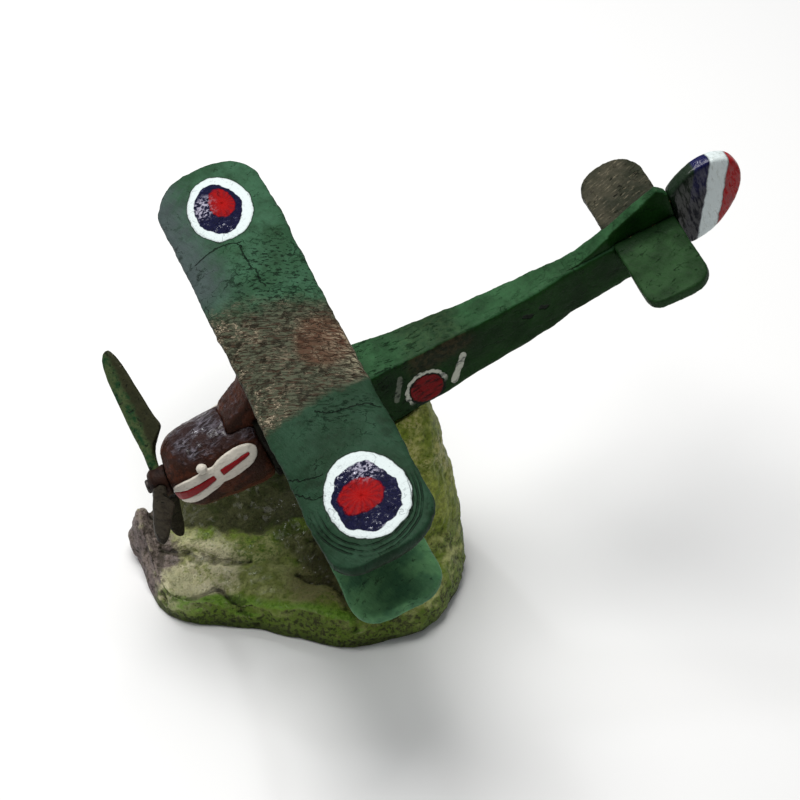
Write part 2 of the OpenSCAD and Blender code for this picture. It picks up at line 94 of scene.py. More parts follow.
def copied(name, node_name):
    """A new object with a copy of the CAD node's mesh, with doubled points merged."""
    bm = bmesh.new()
    bm.from_mesh(nodes[node_name].data)
    bmesh.ops.remove_doubles(bm, verts=bm.verts, dist=SAME_POINT)
    mesh = bpy.data.meshes.new(name)
    bm.to_mesh(mesh)
    bm.free()
    piece = bpy.data.objects.new(name, mesh)
    bpy.context.scene.collection.objects.link(piece)
    return piece


def remeshed(piece, voxel):
    """Rebuilds the piece as one even skin of small quads."""
    modifier = piece.modifiers.new("skin", "REMESH")
    modifier.mode = "VOXEL"
    modifier.voxel_size = voxel
    modifier.adaptivity = 0.0
    depsgraph = bpy.context.evaluated_depsgraph_get()
    mesh = bpy.data.meshes.new_from_object(piece.evaluated_get(depsgraph))
    old = piece.data
    piece.modifiers.clear()
    piece.data = mesh
    mesh.name = piece.name
    bpy.data.meshes.remove(old)


def points_of(mesh):
    """The mesh's points as an array, one row each."""
    co = np.empty(len(mesh.vertices) * 3, np.float32)
    mesh.vertices.foreach_get("co", co)
    return co.reshape(-1, 3).astype(float)


def normals_of(mesh):
    """The mesh's point normals as an array, one row each."""
    values = np.empty(len(mesh.vertices) * 3, np.float32)
    mesh.vertices.foreach_get("normal", values)
    return values.reshape(-1, 3).astype(float)


def set_points(mesh, points):
    mesh.vertices.foreach_set("co", points.astype(np.float32).ravel())
    mesh.update()


def relaxed(piece, rounds):
    """Rounds edges and corners by moving every point towards its neighbours."""
    mesh = piece.data
    edges = np.empty(len(mesh.edges) * 2, np.int32)
    mesh.edges.foreach_get("vertices", edges)
    first, second = edges.reshape(-1, 2).T
    points = points_of(mesh)
    count = np.bincount(first, minlength=len(points)) + np.bincount(second, minlength=len(points))
    for _ in range(rounds):
        moved = np.empty_like(points)
        for axis in range(3):
            sums = np.bincount(first, points[second, axis], len(points))
            sums += np.bincount(second, points[first, axis], len(points))
            moved[:, axis] = sums / np.maximum(count, 1)
        points = (1.0 - RELAX_STEP) * points + RELAX_STEP * moved
    set_points(mesh, points)


def pushed(piece, height):
    """Moves every point along its normal by height(points, normals), in metres."""
    mesh = piece.data
    points = points_of(mesh)
    normals = normals_of(mesh)
    set_points(mesh, points + normals * height(points, normals)[:, None])


def aircraft(points):
    """Points in the aircraft's own axes, in millimetres."""
    turned = np.array(Euler((0.0, -PITCH, 0.0)).to_matrix())
    return (points - np.array(PROP_CENTRE)) @ turned / MM


def smooth(mesh):
    mesh.polygons.foreach_set("use_smooth", [True] * len(mesh.polygons))
    mesh.update()


def carved(name, node_name, body, voxel, rounds, height, material):
    """A carved piece that stands for a CAD node: an even skin, rounded and then hand-worked."""
    piece = copied(name, node_name)
    remeshed(piece, voxel)
    relaxed(piece, rounds)
    if height is not None:
        pushed(piece, height)
    smooth(piece.data)
    piece.data.materials.clear()
    piece.data.materials.append(material)
    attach(piece, body)
    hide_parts(node_name)
    return piece


# ------------------------------------------------------------- paint tools

# How much every paint mirrors its surroundings, and how blurred its clear wet spots are
SPECULAR_LEVEL = 0.07
WET_ROUGHNESS = 0.16

def srgb(r, g, b):
    """A linear colour from the usual 0 to 255 numbers."""
    return tuple((c / 255 / 12.92) if c <= 10 else ((c / 255 + 0.055) / 1.055) ** 2.4 for c in (r, g, b))


class Value:
    """A number in a material's node tree, with arithmetic."""

    def __init__(self, paint, socket):
        self.paint = paint
        self.socket = socket

    def __add__(self, other):
        return self.paint.math("ADD", self, other)

    def __sub__(self, other):
        return self.paint.math("SUBTRACT", self, other)

    def __rsub__(self, other):
        return self.paint.math("SUBTRACT", other, self)

    def __mul__(self, other):
        return self.paint.math("MULTIPLY", self, other)

    def __truediv__(self, other):
        return self.paint.math("DIVIDE", self, other)

    def __abs__(self):
        return self.paint.math("ABSOLUTE", self, 0.0)

    __radd__ = __add__
    __rmul__ = __mul__


class Paint:
    """One procedural material, built from expressions."""

    def __init__(self, name):
        self.material = bpy.data.materials.new(name)
        self.material.use_nodes = True
        self.tree = self.material.node_tree
        self.surface = self.tree.nodes["Principled BSDF"]
        self.surface.inputs["Specular IOR Level"].default_value = SPECULAR_LEVEL
        self.place = self.tree.nodes.new("ShaderNodeTexCoord").outputs["Object"]

    def node(self, kind, **settings):
        made = self.tree.nodes.new(kind)
        for key, value in settings.items():
            setattr(made, key, value)
        return made

    def feed(self, socket, value):
        if isinstance(value, Value):
            self.tree.links.new(value.socket, socket)
        elif isinstance(value, bpy.types.NodeSocket):
            self.tree.links.new(value, socket)
        elif isinstance(value, tuple) and socket.type == "RGBA":
            socket.default_value = (*value, 1.0)
        else:
            socket.default_value = value

    def math(self, operation, a, b=0.0, clamp=False):
        made = self.node("ShaderNodeMath", operation=operation, use_clamp=clamp)
        self.feed(made.inputs[0], a)
        self.feed(made.inputs[1], b)
        return Value(self, made.outputs[0])

    def least(self, a, b):
        return self.math("MINIMUM", a, b)

    def most(self, a, b):
        return self.math("MAXIMUM", a, b)

    def aircraft_axes(self):
        """The shaded point in the aircraft's axes, in millimetres: (vector, x, y, z)."""
        turn = self.node("ShaderNodeMapping", vector_type="TEXTURE")
        turn.inputs["Location"].default_value = PROP_CENTRE
        turn.inputs["Rotation"].default_value = (0.0, -PITCH, 0.0)
        turn.inputs["Scale"].default_value = (MM, MM, MM)
        self.tree.links.new(self.place, turn.inputs["Vector"])
        return (turn.outputs[0], *self.split(turn.outputs[0]))

    def world_axes(self):
        """The shaded point in the part's frame, in millimetres: (vector, x, y, z)."""
        turn = self.node("ShaderNodeMapping", vector_type="TEXTURE")
        turn.inputs["Scale"].default_value = (MM, MM, MM)
        self.tree.links.new(self.place, turn.inputs["Vector"])
        return (turn.outputs[0], *self.split(turn.outputs[0]))

    def split(self, vector):
        parts = self.node("ShaderNodeSeparateXYZ")
        self.tree.links.new(vector, parts.inputs[0])
        return tuple(Value(self, parts.outputs[i]) for i in range(3))

    def facing(self):
        """How far the surface faces along each axis of the part's frame: (x, y, z)."""
        return self.split(self.node("ShaderNodeNewGeometry").outputs["Normal"])

    def edges(self):
        """About 0.5 on flat stretches, more on outward edges and less in creases."""
        return Value(self, self.node("ShaderNodeNewGeometry").outputs["Pointiness"])

    def stretched(self, vector, scale, turn=0.0):
        """The vector turned about z by some degrees, then divided by scale on each axis."""
        made = self.node("ShaderNodeMapping", vector_type="TEXTURE")
        made.inputs["Rotation"].default_value = (0.0, 0.0, math.radians(turn))
        made.inputs["Scale"].default_value = scale
        self.tree.links.new(vector, made.inputs["Vector"])
        return made.outputs[0]

    def noise(self, vector, size, detail=3.0, roughness=0.55, seed=0.0, twist=0.0):
        """Soft random values around 0.5, with features of the given size in millimetres."""
        made = self.node("ShaderNodeTexNoise", noise_dimensions="4D")
        made.inputs["Scale"].default_value = 1.0 / size
        made.inputs["Detail"].default_value = detail
        made.inputs["Roughness"].default_value = roughness
        made.inputs["Distortion"].default_value = twist
        made.inputs["W"].default_value = seed
        self.tree.links.new(vector, made.inputs["Vector"])
        return Value(self, made.outputs["Fac"])

    def cracks(self, vector, size, width, seed=0.0):
        """1 on the borders of random cells of the given size, 0 inside them."""
        shift = self.node("ShaderNodeVectorMath", operation="ADD")
        bent = self.node("ShaderNodeTexNoise")
        bent.inputs["Scale"].default_value = 1.6 / size
        bent.inputs["Detail"].default_value = 2.0
        self.tree.links.new(vector, bent.inputs["Vector"])
        grow = self.node("ShaderNodeVectorMath", operation="SCALE")
        grow.inputs["Scale"].default_value = size * 0.9
        self.tree.links.new(bent.outputs["Color"], grow.inputs[0])
        self.tree.links.new(vector, shift.inputs[0])
        self.tree.links.new(grow.outputs[0], shift.inputs[1])
        cells = self.node("ShaderNodeTexVoronoi", feature="DISTANCE_TO_EDGE", voronoi_dimensions="4D")
        cells.inputs["Scale"].default_value = 1.0 / size
        cells.inputs["W"].default_value = seed
        self.tree.links.new(shift.outputs[0], cells.inputs["Vector"])
        return self.band(Value(self, cells.outputs["Distance"]), width / size, 0.0)

    def band(self, value, start, end):
        """Goes smoothly from 0 at start to 1 at end; start may be above end."""
        made = self.node("ShaderNodeMapRange", interpolation_type="SMOOTHSTEP")
        self.feed(made.inputs["Value"], value)
        low, high = (start, end) if start < end else (end, start)
        made.inputs["From Min"].default_value = low
        made.inputs["From Max"].default_value = high
        made.inputs["To Min"].default_value = 0.0 if start < end else 1.0
        made.inputs["To Max"].default_value = 1.0 if start < end else 0.0
        return Value(self, made.outputs["Result"])

    def between(self, value, start, end, soft):
        """1 from start to end and 0 outside, over soft edges."""
        return self.band(value, start - soft, start + soft) * self.band(value, end + soft, end - soft)

    def path(self, a, b, corners):
        """Distance in the (a, b) plane from the line through the corners."""
        nearest = None
        for start, end in zip(corners, corners[1:]):
            run_a, run_b = end[0] - start[0], end[1] - start[1]
            along = ((a - start[0]) * run_a + (b - start[1]) * run_b) / (run_a**2 + run_b**2)
            along = self.math("ADD", along, 0.0, clamp=True)
            off_a = a - start[0] - along * run_a
            off_b = b - start[1] - along * run_b
            off = self.math("SQRT", off_a * off_a + off_b * off_b)
            nearest = off if nearest is None else self.least(nearest, off)
        return nearest

    def veins(self, vector, size, width, seed, detail=2.0):
        """Thin winding lines: 1 on the line, 0 away from it."""
        winding = self.noise(vector, size, detail, 0.55, seed)
        return self.band(abs(winding - 0.5), width, width * 0.25)

    def mix(self, share, under, over):
        """The colour under, covered by the colour over as far as share says."""
        made = self.node("ShaderNodeMix", data_type="RGBA")
        self.feed(made.inputs["Factor"], share)
        self.feed(made.inputs["A"], under)
        self.feed(made.inputs["B"], over)
        return made.outputs["Result"]

    def shade(self, colour, factor):
        """The colour times a number."""
        made = self.node("ShaderNodeMix", data_type="RGBA", blend_type="MULTIPLY")
        made.inputs["Factor"].default_value = 1.0
        self.feed(made.inputs["A"], colour)
        grey = self.node("ShaderNodeCombineXYZ")
        for i in range(3):
            self.feed(grey.inputs[i], factor)
        self.tree.links.new(grey.outputs[0], made.inputs["B"])
        return made.outputs["Result"]

    def finish(self, colour, roughness, height=None, depth=0.3, coat=0.0):
        """Wires up the surface. height is in units of depth millimetres."""
        self.feed(self.surface.inputs["Base Color"], colour)
        self.feed(self.surface.inputs["Roughness"], roughness)
        self.feed(self.surface.inputs["Coat Weight"], coat)
        self.surface.inputs["Coat Roughness"].default_value = WET_ROUGHNESS
        if height is not None:
            bump = self.node("ShaderNodeBump")
            bump.inputs["Strength"].default_value = 1.0
            bump.inputs["Distance"].default_value = depth * MM
            self.feed(bump.inputs["Height"], height)
            self.tree.links.new(bump.outputs[0], self.surface.inputs["Normal"])
        return self.material


# ------------------------------------------------------------------- paints

PALE_GREEN = srgb(50, 84, 62)
WING_GREEN = srgb(36, 66, 44)
DEEP_GREEN = srgb(18, 38, 18)
# Painted shadow colour along a tailplane's root
ROOT_SHADOW_GREEN = srgb(9, 30, 9)
RUDDER_GREEN = srgb(22, 34, 24)
BLACK_GREEN = srgb(5, 10, 6)
OLIVE = srgb(74, 78, 62)
EARTH = srgb(60, 46, 34)
DARK_EARTH = srgb(34, 30, 20)
RED_EARTH = srgb(78, 52, 38)
SCORE_BROWN = srgb(30, 26, 18)
NOSE_BROWN = srgb(50, 30, 22)
NOSE_DARK = srgb(20, 13, 12)
# Painted purple-grey sheen on the cowl's top
NOSE_TOP_SHEEN = srgb(44, 34, 38)
NOSE_WARM = srgb(78, 42, 28)
# Painted reflections on the cowl's top: pale streaks and crinkles
SHEEN_GREY = srgb(132, 124, 138)
CRINKLE_SHEEN_GREY = srgb(150, 144, 156)
STRAW = srgb(186, 172, 146)
SLATE = srgb(66, 72, 76)
WHITE = srgb(206, 216, 216)
RUBBED_WHITE = srgb(140, 148, 140)
FLANK_WHITE = srgb(196, 198, 184)
NAVY = srgb(7, 8, 44)
NAVY_DARK = srgb(8, 8, 24)
NAVY_RUBBED = srgb(92, 100, 150)
# Painted reflection: pale flecks on a mark's navy ring
GLINT_WHITE = srgb(190, 186, 204)
RED = srgb(142, 6, 8)
RED_DARK = srgb(104, 10, 22)
RED_LIT = srgb(168, 16, 14)

TUFT_GREEN = srgb(58, 84, 26)
SIDE_FACE_GREEN = srgb(34, 42, 12)
LOW_GREEN = srgb(24, 30, 10)
CREASE_GREEN = srgb(34, 36, 14)
SPECK_GREEN = srgb(34, 36, 16)
# Painted shadow colour on the rock under the nose
NOSE_SHADOW_BROWN = srgb(22, 22, 12)
PIT_EARTH = srgb(22, 22, 10)
BARE_STONE = srgb(164, 156, 106)
RIDGE_STONE = srgb(190, 186, 150)

# Pairs that one paint wavers between
# Fuselage flank greens: painted shade, darker than the green on the top
SHADED_SIDE_GREENS = (srgb(9, 36, 6), srgb(20, 56, 15))
TOP_GREENS = (srgb(24, 54, 28), srgb(46, 84, 52))
SIDE_BROWNS = (srgb(30, 24, 16), srgb(60, 48, 34))
DISC_REDS = (srgb(118, 14, 18), srgb(66, 10, 12))
RUDDER_NAVIES = (srgb(12, 14, 66), srgb(70, 78, 120))
RUDDER_REDS = (srgb(150, 18, 22), srgb(84, 12, 16))
PALE_STONES = (srgb(226, 220, 186), srgb(188, 182, 146))
OLIVE_STONES = (srgb(168, 172, 112), srgb(124, 132, 72))
MOSSES = (srgb(116, 140, 48), srgb(72, 96, 22))
MOSSY_STONES = (srgb(146, 154, 66), srgb(98, 112, 34))
LIP_GREENS = (srgb(122, 160, 62), srgb(78, 116, 28))
BROWN_STONES = (srgb(132, 122, 82), srgb(78, 74, 42))
PURPLE_STONES = (srgb(136, 120, 120), srgb(58, 46, 52))
# Lower wing greens: painted light, lighter than its paint, where the upper wing shades it
LIT_LOWER_WING_GREENS = (srgb(90, 138, 92), srgb(58, 100, 70))
STRUT_GREENS = (srgb(24, 42, 24), srgb(18, 30, 18))
TAIL_GREENS = (srgb(36, 64, 34), srgb(20, 44, 18))
TAIL_BROWNS = (srgb(60, 58, 46), srgb(32, 36, 24))
HUB_BROWNS = (NOSE_BROWN, NOSE_DARK)
FILLER_WHITES = (srgb(200, 194, 182), srgb(132, 124, 112))
FILLER_REDS = (srgb(128, 14, 20), srgb(74, 8, 12))
WOODS = (srgb(206, 176, 128), srgb(166, 130, 84))
STEELS = (srgb(66, 62, 60), srgb(44, 36, 32))

# Blade colours: by the tip, along the middle, on the aft half; the dark set is painted shade for the two
# lower blades
GREEN_BLADE = (srgb(24, 62, 34), srgb(74, 88, 54), srgb(46, 44, 30))
SHADED_BLADE = (srgb(30, 26, 22), srgb(46, 42, 34), srgb(16, 18, 14))


def worn(paint, vector, colour, seed, share=1.0, stroke=20.0):
    """Brush-marked, dirty and edge-worn version of a colour, with its relief: (colour, height)."""
    strokes = paint.noise(paint.stretched(vector, (1.0, 4.5, 1.5), stroke), 1.7, 4.0, 0.65, seed)
    patches = paint.noise(vector, 13.0, 4.0, 0.6, seed + 3.0)
    grit = paint.noise(vector, 0.9, 3.0, 0.65, seed + 5.0)
    tone = 0.30 + strokes * 0.60 + patches * 0.50 + grit * 0.30
    colour = paint.shade(colour, tone)
    specks = paint.band(paint.noise(vector, 1.5, 3.0, 0.7, seed + 7.0), 0.66, 0.72)
    colour = paint.mix(specks * 0.7 * share, colour, BLACK_GREEN)
    dirt = paint.veins(vector, 9.0, 0.008, seed + 9.0, 4.0) * paint.band(patches, 0.52, 0.60)
    colour = paint.mix(dirt * 0.6 * share, colour, BLACK_GREEN)
    edge = paint.edges()
    crease = paint.band(edge, 0.495, 0.44)
    colour = paint.mix(crease * 0.8 * share, colour, BLACK_GREEN)
    rubbed = paint.band(edge, 0.53, 0.6) * paint.band(strokes, 0.45, 0.62)
    colour = paint.mix(rubbed * 0.3 * share, colour, STRAW)
    height = strokes * 0.9 + grit * 0.35 + patches * 0.5 - specks * 0.8 - dirt * 0.8
    return colour, height


def oval(paint, x, y, centre, radii, wobble):
    """Distance from an oval's centre in units of its radii, with a wavering hand-drawn edge."""
    across = (x - centre[0]) / radii[0]
    along = (y - centre[1]) / radii[1]
    return paint.math("SQRT", across * across + along * along) + wobble


def patch(paint, x, y, place, wobble, outer, inner):
    """1 inside an oval patch (centre, radii), 0 outside it, fading from outer to inner radii."""
    return paint.band(oval(paint, x, y, *place, wobble), outer, inner)


def bullseye(paint, x, y, vector, colour, mark):
    """Three hand-painted rings over the colour, with a painted reflection of pale flecks round one spot:
    (colour, height, wet area).
    """
    slow = (paint.noise(vector, 9.0, 2.0, 0.5, mark["seed"]) - 0.5) * 0.42
    quick = (paint.noise(vector, 4.0, 2.0, 0.5, mark["seed"] + 1.0) - 0.5) * 0.34
    smear = paint.noise(vector, 1.6, 3.0, 0.6, mark["seed"] + 2.0)
    white_at = oval(paint, x, y, *mark["white"], slow * 0.3 + quick * 0.16)
    navy_at = oval(paint, x, y, *mark["navy"], slow * 0.8 + quick * 0.35)
    red_at = oval(paint, x, y, *mark["red"], slow + quick)
    middle_x, middle_y = mark["red"][0]
    turn = paint.math("ARCTAN2", y - middle_y, x - middle_x)
    spokes = paint.math("SINE", turn * SPOKES + smear * 9.0) * 0.5 + 0.5
    white = paint.band(white_at, 1.012, 0.988)
    navy = paint.band(navy_at, 1.015, 0.985)
    red = paint.band(red_at, 1.08, 0.95)
    rim = paint.band(abs(white_at - 1.0), 0.045, 0.01)
    colour = paint.mix(rim * 0.6, colour, BLACK_GREEN)
    chalk = paint.mix(paint.band(smear, 0.56, 0.8) * 0.45, WHITE, SLATE)
    colour = paint.mix(white, colour, chalk)
    pale_blue = paint.band(smear, 0.64, 0.74) * paint.band(red_at, 1.1, 1.5)
    blue = paint.mix(pale_blue * 0.5, NAVY, NAVY_RUBBED)
    blue = paint.mix(paint.band(smear, 0.5, 0.36) * 0.6, blue, NAVY_DARK)
    colour = paint.mix(navy, colour, blue)
    crimson = paint.mix(spokes * paint.band(red_at, 0.25, 0.8) * 0.75, RED, RED_DARK)
    crimson = paint.mix(paint.band(red_at, 0.5, 0.1) * 0.5, crimson, RED_LIT)
    colour = paint.mix(red, colour, crimson)
    # Painted reflection: pale flecks on the navy round one spot
    glint_spot = patch(paint, x, y, mark["painted_glint"], quick * 2.0, 1.3, 0.5)
    glint_flecks = glint_spot * paint.band(smear, 0.46, 0.58) * navy * (1.0 - red * 0.7)
    colour = paint.mix(glint_flecks * 0.6, colour, GLINT_WHITE)
    height = white * 0.8 - navy * 0.3 + red * 0.9 + spokes * red * 0.3 - rim * 0.5 + smear * navy * 1.1
    return colour, height, navy * (1.0 - red) * paint.band(smear, 0.54, 0.68)


# Brush spokes round a mark's red middle
SPOKES = 15.0

# Upper wing: places in millimetres (aft, to starboard), ovals as (centre, radii)
PORT_MARK = {
    "white": ((92.8, -113.8), (20.3, 27.9)),
    "navy": ((92.2, -115.0), (15.9, 21.9)),
    "red": ((90.4, -113.2), (10.9, 10.4)),
    "painted_glint": ((97.0, -99.0), (7.0, 9.0)),
    "seed": 21.0,
}
STARBOARD_MARK = {
    "white": ((89.6, 114.6), (16.9, 25.6)),
    "navy": ((88.8, 114.8), (12.5, 19.4)),
    "red": ((91.6, 118.0), (6.6, 11.9)),
    "painted_glint": ((82.0, 120.0), (7.0, 9.0)),
    "seed": 31.0,
}
LEADING_EDGE = 60.0
CHORD = 58.0
RED_PATCH = ((106.0, -6.0), (14.0, 19.0))
PITTED = ((100.0, 48.0), (24.0, 34.0))
PORT_PITTED = ((98.0, -56.0), (22.0, 14.0))
# Where the brown band fades in from each side: (none, full)
BROWN_PORT = (-51.0, -44.0)
BROWN_STARBOARD = (56.0, 32.0)
# The plain underside's paint fades in below the top face: (none, full)
UNDERSIDE = (41.5, 39.5)
# Turn of strokes and scores from the flight line in degrees, and each set of scratches: (turn, seed)
STROKE_TURN = -35.0
SCORE_TURN = -32.0
SCRATCHES = ((-35.0, 8.0), (-22.0, 8.3), (-52.0, 8.6))
WING_CRACKS = (
    ((66.5, 85.8), (78.0, 88.0), (92.0, 84.5)),
    ((89.7, 83.7), (91.0, 66.0), (93.0, 46.0)),
    ((88.0, -50.0), (97.0, -56.5), (108.0, -56.0), (118.0, -62.0)),
    ((61.0, -80.0), (69.0, -87.0), (78.0, -89.5)),
    ((62.0, -90.0), (68.0, -99.0), (75.0, -102.5)),
)
TIP_CENTRE = (91.0, -112.0)
TIP_RADII = (23.5, 33.5)
TIP_ARCS = (0.97, 1.07, 1.15)


def upper_wing_paint():
    """Greens with a scratched brown band, cracks, carved tip arcs and a painted mark near each tip."""
    paint = Paint("upper_wing_paint")
    vector, x, y, z = paint.aircraft_axes()
    slow = (paint.noise(vector, 22.0, 3.0, 0.55, 1.0) - 0.5) * 30.0
    quick = (paint.noise(vector, 5.0, 3.0, 0.6, 2.0) - 0.5) * 14.0

    # Greens, greyer on the starboard leading edge and darker on the port half
    clouds = paint.band(paint.noise(vector, 24.0, 4.0, 0.65, 4.0), 0.36, 0.64)
    greens = paint.mix(clouds, WING_GREEN, PALE_GREEN)
    dull = paint.band(paint.noise(vector, 9.0, 4.0, 0.65, 5.0), 0.5, 0.68)
    greens = paint.mix(dull * 0.45, greens, DEEP_GREEN)
    grey_edge = paint.band(x + quick * 1.6 + y * 0.06, 92.0, 66.0) * paint.band(y, 34.0, 70.0)
    greens = paint.mix(grey_edge * 0.8, greens, SLATE)
    greens = paint.mix(grey_edge * paint.band(quick, 1.0, 3.0) * 0.6, greens, BLACK_GREEN)
    greens = paint.shade(greens, 0.58 + paint.band(y, -48.0, 10.0) * 0.5)

    # Brown band across the middle, ragged where it meets the green
    aft = (x - LEADING_EDGE) / CHORD
    port_side = paint.band(y + slow * 0.3 + quick * 0.6 - aft * 8.0, *BROWN_PORT)
    starboard_side = paint.band(y + slow * 0.6 + quick * 1.4 + aft * 22.0, *BROWN_STARBOARD)
    brown_area = port_side * starboard_side
    streak = paint.noise(paint.stretched(vector, (5.0, 1.0, 1.0), STROKE_TURN), 1.5, 4.0, 0.65, 6.0)
    mottle = paint.noise(vector, 4.0, 4.0, 0.7, 7.0)
    brown = paint.mix(paint.band(streak + quick * 0.01, 0.40, 0.52), EARTH, OLIVE)
    brown = paint.mix(paint.band(mottle, 0.48, 0.6) * 0.85, brown, DARK_EARTH)
    red_patch = patch(paint, x, y, RED_PATCH, slow * 0.012, 1.15, 0.75)
    brown = paint.mix(red_patch * 0.8, brown, RED_EARTH)
    pale_strip = paint.band(x + quick * 0.4, 104.0, 115.0) * paint.between(y, -44.0, 2.0, 5.0)
    brown = paint.mix(pale_strip * paint.band(streak, 0.44, 0.62) * 0.45, brown, STRAW)
    colour = paint.mix(brown_area, greens, brown)

    # Long thin scratches in the band, pale and dark, thickest along the leading edge
    near_edge = 0.35 + paint.band(x, 84.0, 64.0) * 0.75
    frayed = paint.band(mottle, 0.44, 0.56) * brown_area * near_edge
    scratched = 0.0
    for turn, seed in SCRATCHES:
        lines = paint.veins(paint.stretched(vector, (11.0, 1.3, 1.0), turn), 1.0, 0.035, seed, 1.5)
        broken = paint.band(paint.noise(vector, 6.0, 2.0, 0.5, seed), 0.46, 0.58)
        scratched = paint.most(lines * broken, scratched)
    scored = paint.veins(paint.stretched(vector, (12.0, 1.6, 1.0), SCORE_TURN), 1.0, 0.045, 8.8, 1.5)
    scored = scored * brown_area
    colour = paint.mix(scored * 0.5, colour, SCORE_BROWN)
    scratched = scratched * frayed
    colour = paint.mix(scratched * 0.75, colour, STRAW)

    # Dark pits where brown meets green on the starboard side, and a few on the port side
    pit = paint.noise(paint.stretched(vector, (2.6, 1.0, 1.0), STROKE_TURN), 1.3, 3.0, 0.6, 9.0)
    pit_area = patch(paint, x, y, PITTED, slow * 0.02, 1.3, 0.5)
    port_pits = patch(paint, x, y, PORT_PITTED, slow * 0.02, 1.2, 0.4) * 0.6
    pits = paint.band(pit, 0.55, 0.63) * paint.most(pit_area, port_pits)
    colour = paint.mix(pits * 0.7, colour, BLACK_GREEN)

    colour, relief = worn(paint, vector, colour, 11.0)

    # Cracks in the paint, and crazing on the starboard half
    wander = (paint.noise(vector, 6.0, 3.0, 0.6, 12.0) - 0.5) * 7.0
    crack = 0.0
    for corners in WING_CRACKS:
        off = paint.path(x + wander, y + wander * 0.6, corners)
        crack = paint.most(paint.band(off, 0.5, 0.15), crack)
    crazing = paint.cracks(vector, 7.0, 0.45, 2.0) * paint.band(slow + quick, -1.0, 5.0)
    crazing = crazing * (0.15 + paint.between(y, 30.0, 92.0, 8.0) * 0.6)
    crack = paint.most(crack, crazing * 0.8)
    colour = paint.mix(crack * 0.75, colour, BLACK_GREEN)

    # Carved arcs round the port tip
    arc_at = oval(paint, x, y, TIP_CENTRE, TIP_RADII, slow * 0.005 + quick * 0.003)
    arc = 0.0
    for reach in TIP_ARCS:
        arc = paint.band(abs(arc_at - reach), 0.028, 0.008) + arc
    arc = arc * paint.band(y, -104.0, -124.0) * paint.band(quick + slow * 0.3, -3.5, 1.0)
    colour = paint.mix(arc * 0.6, colour, BLACK_GREEN)

    colour, port_height, port_wet = bullseye(paint, x, y, vector, colour, PORT_MARK)
    colour, far_height, far_wet = bullseye(paint, x, y, vector, colour, STARBOARD_MARK)

    # The underside and the lower part of the edge all round are one plain dark green
    under = paint.band(z, *UNDERSIDE)
    colour = paint.mix(under * 0.85, colour, DEEP_GREEN)

    height = relief - crack * 2.2 - pits * 1.8 - arc * 1.4 + port_height + far_height
    height = height + scratched * 1.0 - scored * 1.4 + mottle * brown_area * 1.4
    wet = paint.most(port_wet, far_wet)
    roughness = 0.5 + pits * 0.2 + (streak - 0.5) * 0.3
    return paint.finish(colour, roughness, height, 0.5, wet * 0.7)


def plain_paint(name, colours, seed, dirt=1.0, pitted=0.5, root_shade=None, streaks=0.0):
    """Hand paint of two close colours, pitted and dirty, with a painted shadow near the root out to the
    given mm off the middle line.
    """
    paint = Paint(name)
    vector, _, y, _ = paint.aircraft_axes()
    blend = paint.band(paint.noise(vector, 14.0, 3.0, 0.6, seed), 0.35, 0.65)
    colour = paint.mix(blend, *colours)
    pit = paint.noise(paint.stretched(vector, (2.2, 1.0, 1.0), 25.0), 2.0, 3.0, 0.6, seed + 1.0)
    pits = paint.band(pit, 0.6, 0.7) * pitted
    colour = paint.mix(pits, colour, BLACK_GREEN)
    if streaks > 0.0:
        streak = paint.noise(paint.stretched(vector, (6.0, 0.9, 1.0), 20.0), 1.2, 4.0, 0.75, seed + 8.0)
        colour = paint.mix(paint.band(streak, 0.54, 0.68) * streaks, colour, STRAW)
        colour = paint.mix(paint.band(streak, 0.45, 0.38) * streaks, colour, NOSE_DARK)
    # Painted shadow of the fin along the tailplane's root
    if root_shade is not None:
        shadow = paint.band(abs(y) + (pit - 0.5) * 8.0, root_shade + 5.0, root_shade - 2.0)
        colour = paint.mix(shadow * 0.85, colour, ROOT_SHADOW_GREEN)
    colour, relief = worn(paint, vector, colour, seed + 2.0, dirt)
    return paint.finish(colour, 0.5 + (pit - 0.5) * 0.3, relief - pits * 1.4, 0.45)


def blade_paint(name, colours):
    """Mottled blade paint: one colour by the tip, one along the middle, one on the aft half."""
    tip, middle, aft = colours
    paint = Paint(name)
    vector, x, _, _ = paint.aircraft_axes()
    mottle = paint.noise(vector, 5.0, 4.0, 0.65, 131.0)
    fine = paint.noise(vector, 1.6, 3.0, 0.65, 132.0)
    colour = paint.mix(paint.band(mottle + fine * 0.5, 0.58, 0.86), tip, middle)
    colour = paint.mix(paint.band(x + (mottle - 0.5) * 8.0, 4.5, 8.5) * 0.9, colour, aft)
    blots = paint.band(paint.noise(vector, 2.6, 3.0, 0.6, 133.0), 0.6, 0.68)
    colour = paint.mix(blots * 0.7, colour, BLACK_GREEN)
    colour, relief = worn(paint, vector, colour, 134.0)
    return paint.finish(colour, 0.5, relief + mottle * 1.5 - blots, 0.5)


# Fuselage: places in millimetres (aft, up); radii of 1 mm make an oval's distance plain millimetres
# Painted shadow on the fuselage's front end behind the cowl fades in here: (none, full)
COWL_GAP_SHADOW = (66.0, 60.0)
FLANK_DISC = (143.5, -11.5)
ONE_MM = (1.0, 1.0)
FRONT_BAR = ((133.0, 3.5), (127.0, -9.0))
REAR_BAR = ((166.8, -3.0), (158.0, -15.5))
KNOCKS = (((203.0, 0.0), (206.0, -1.5)), ((213.0, 0.5), (215.0, -1.0)))


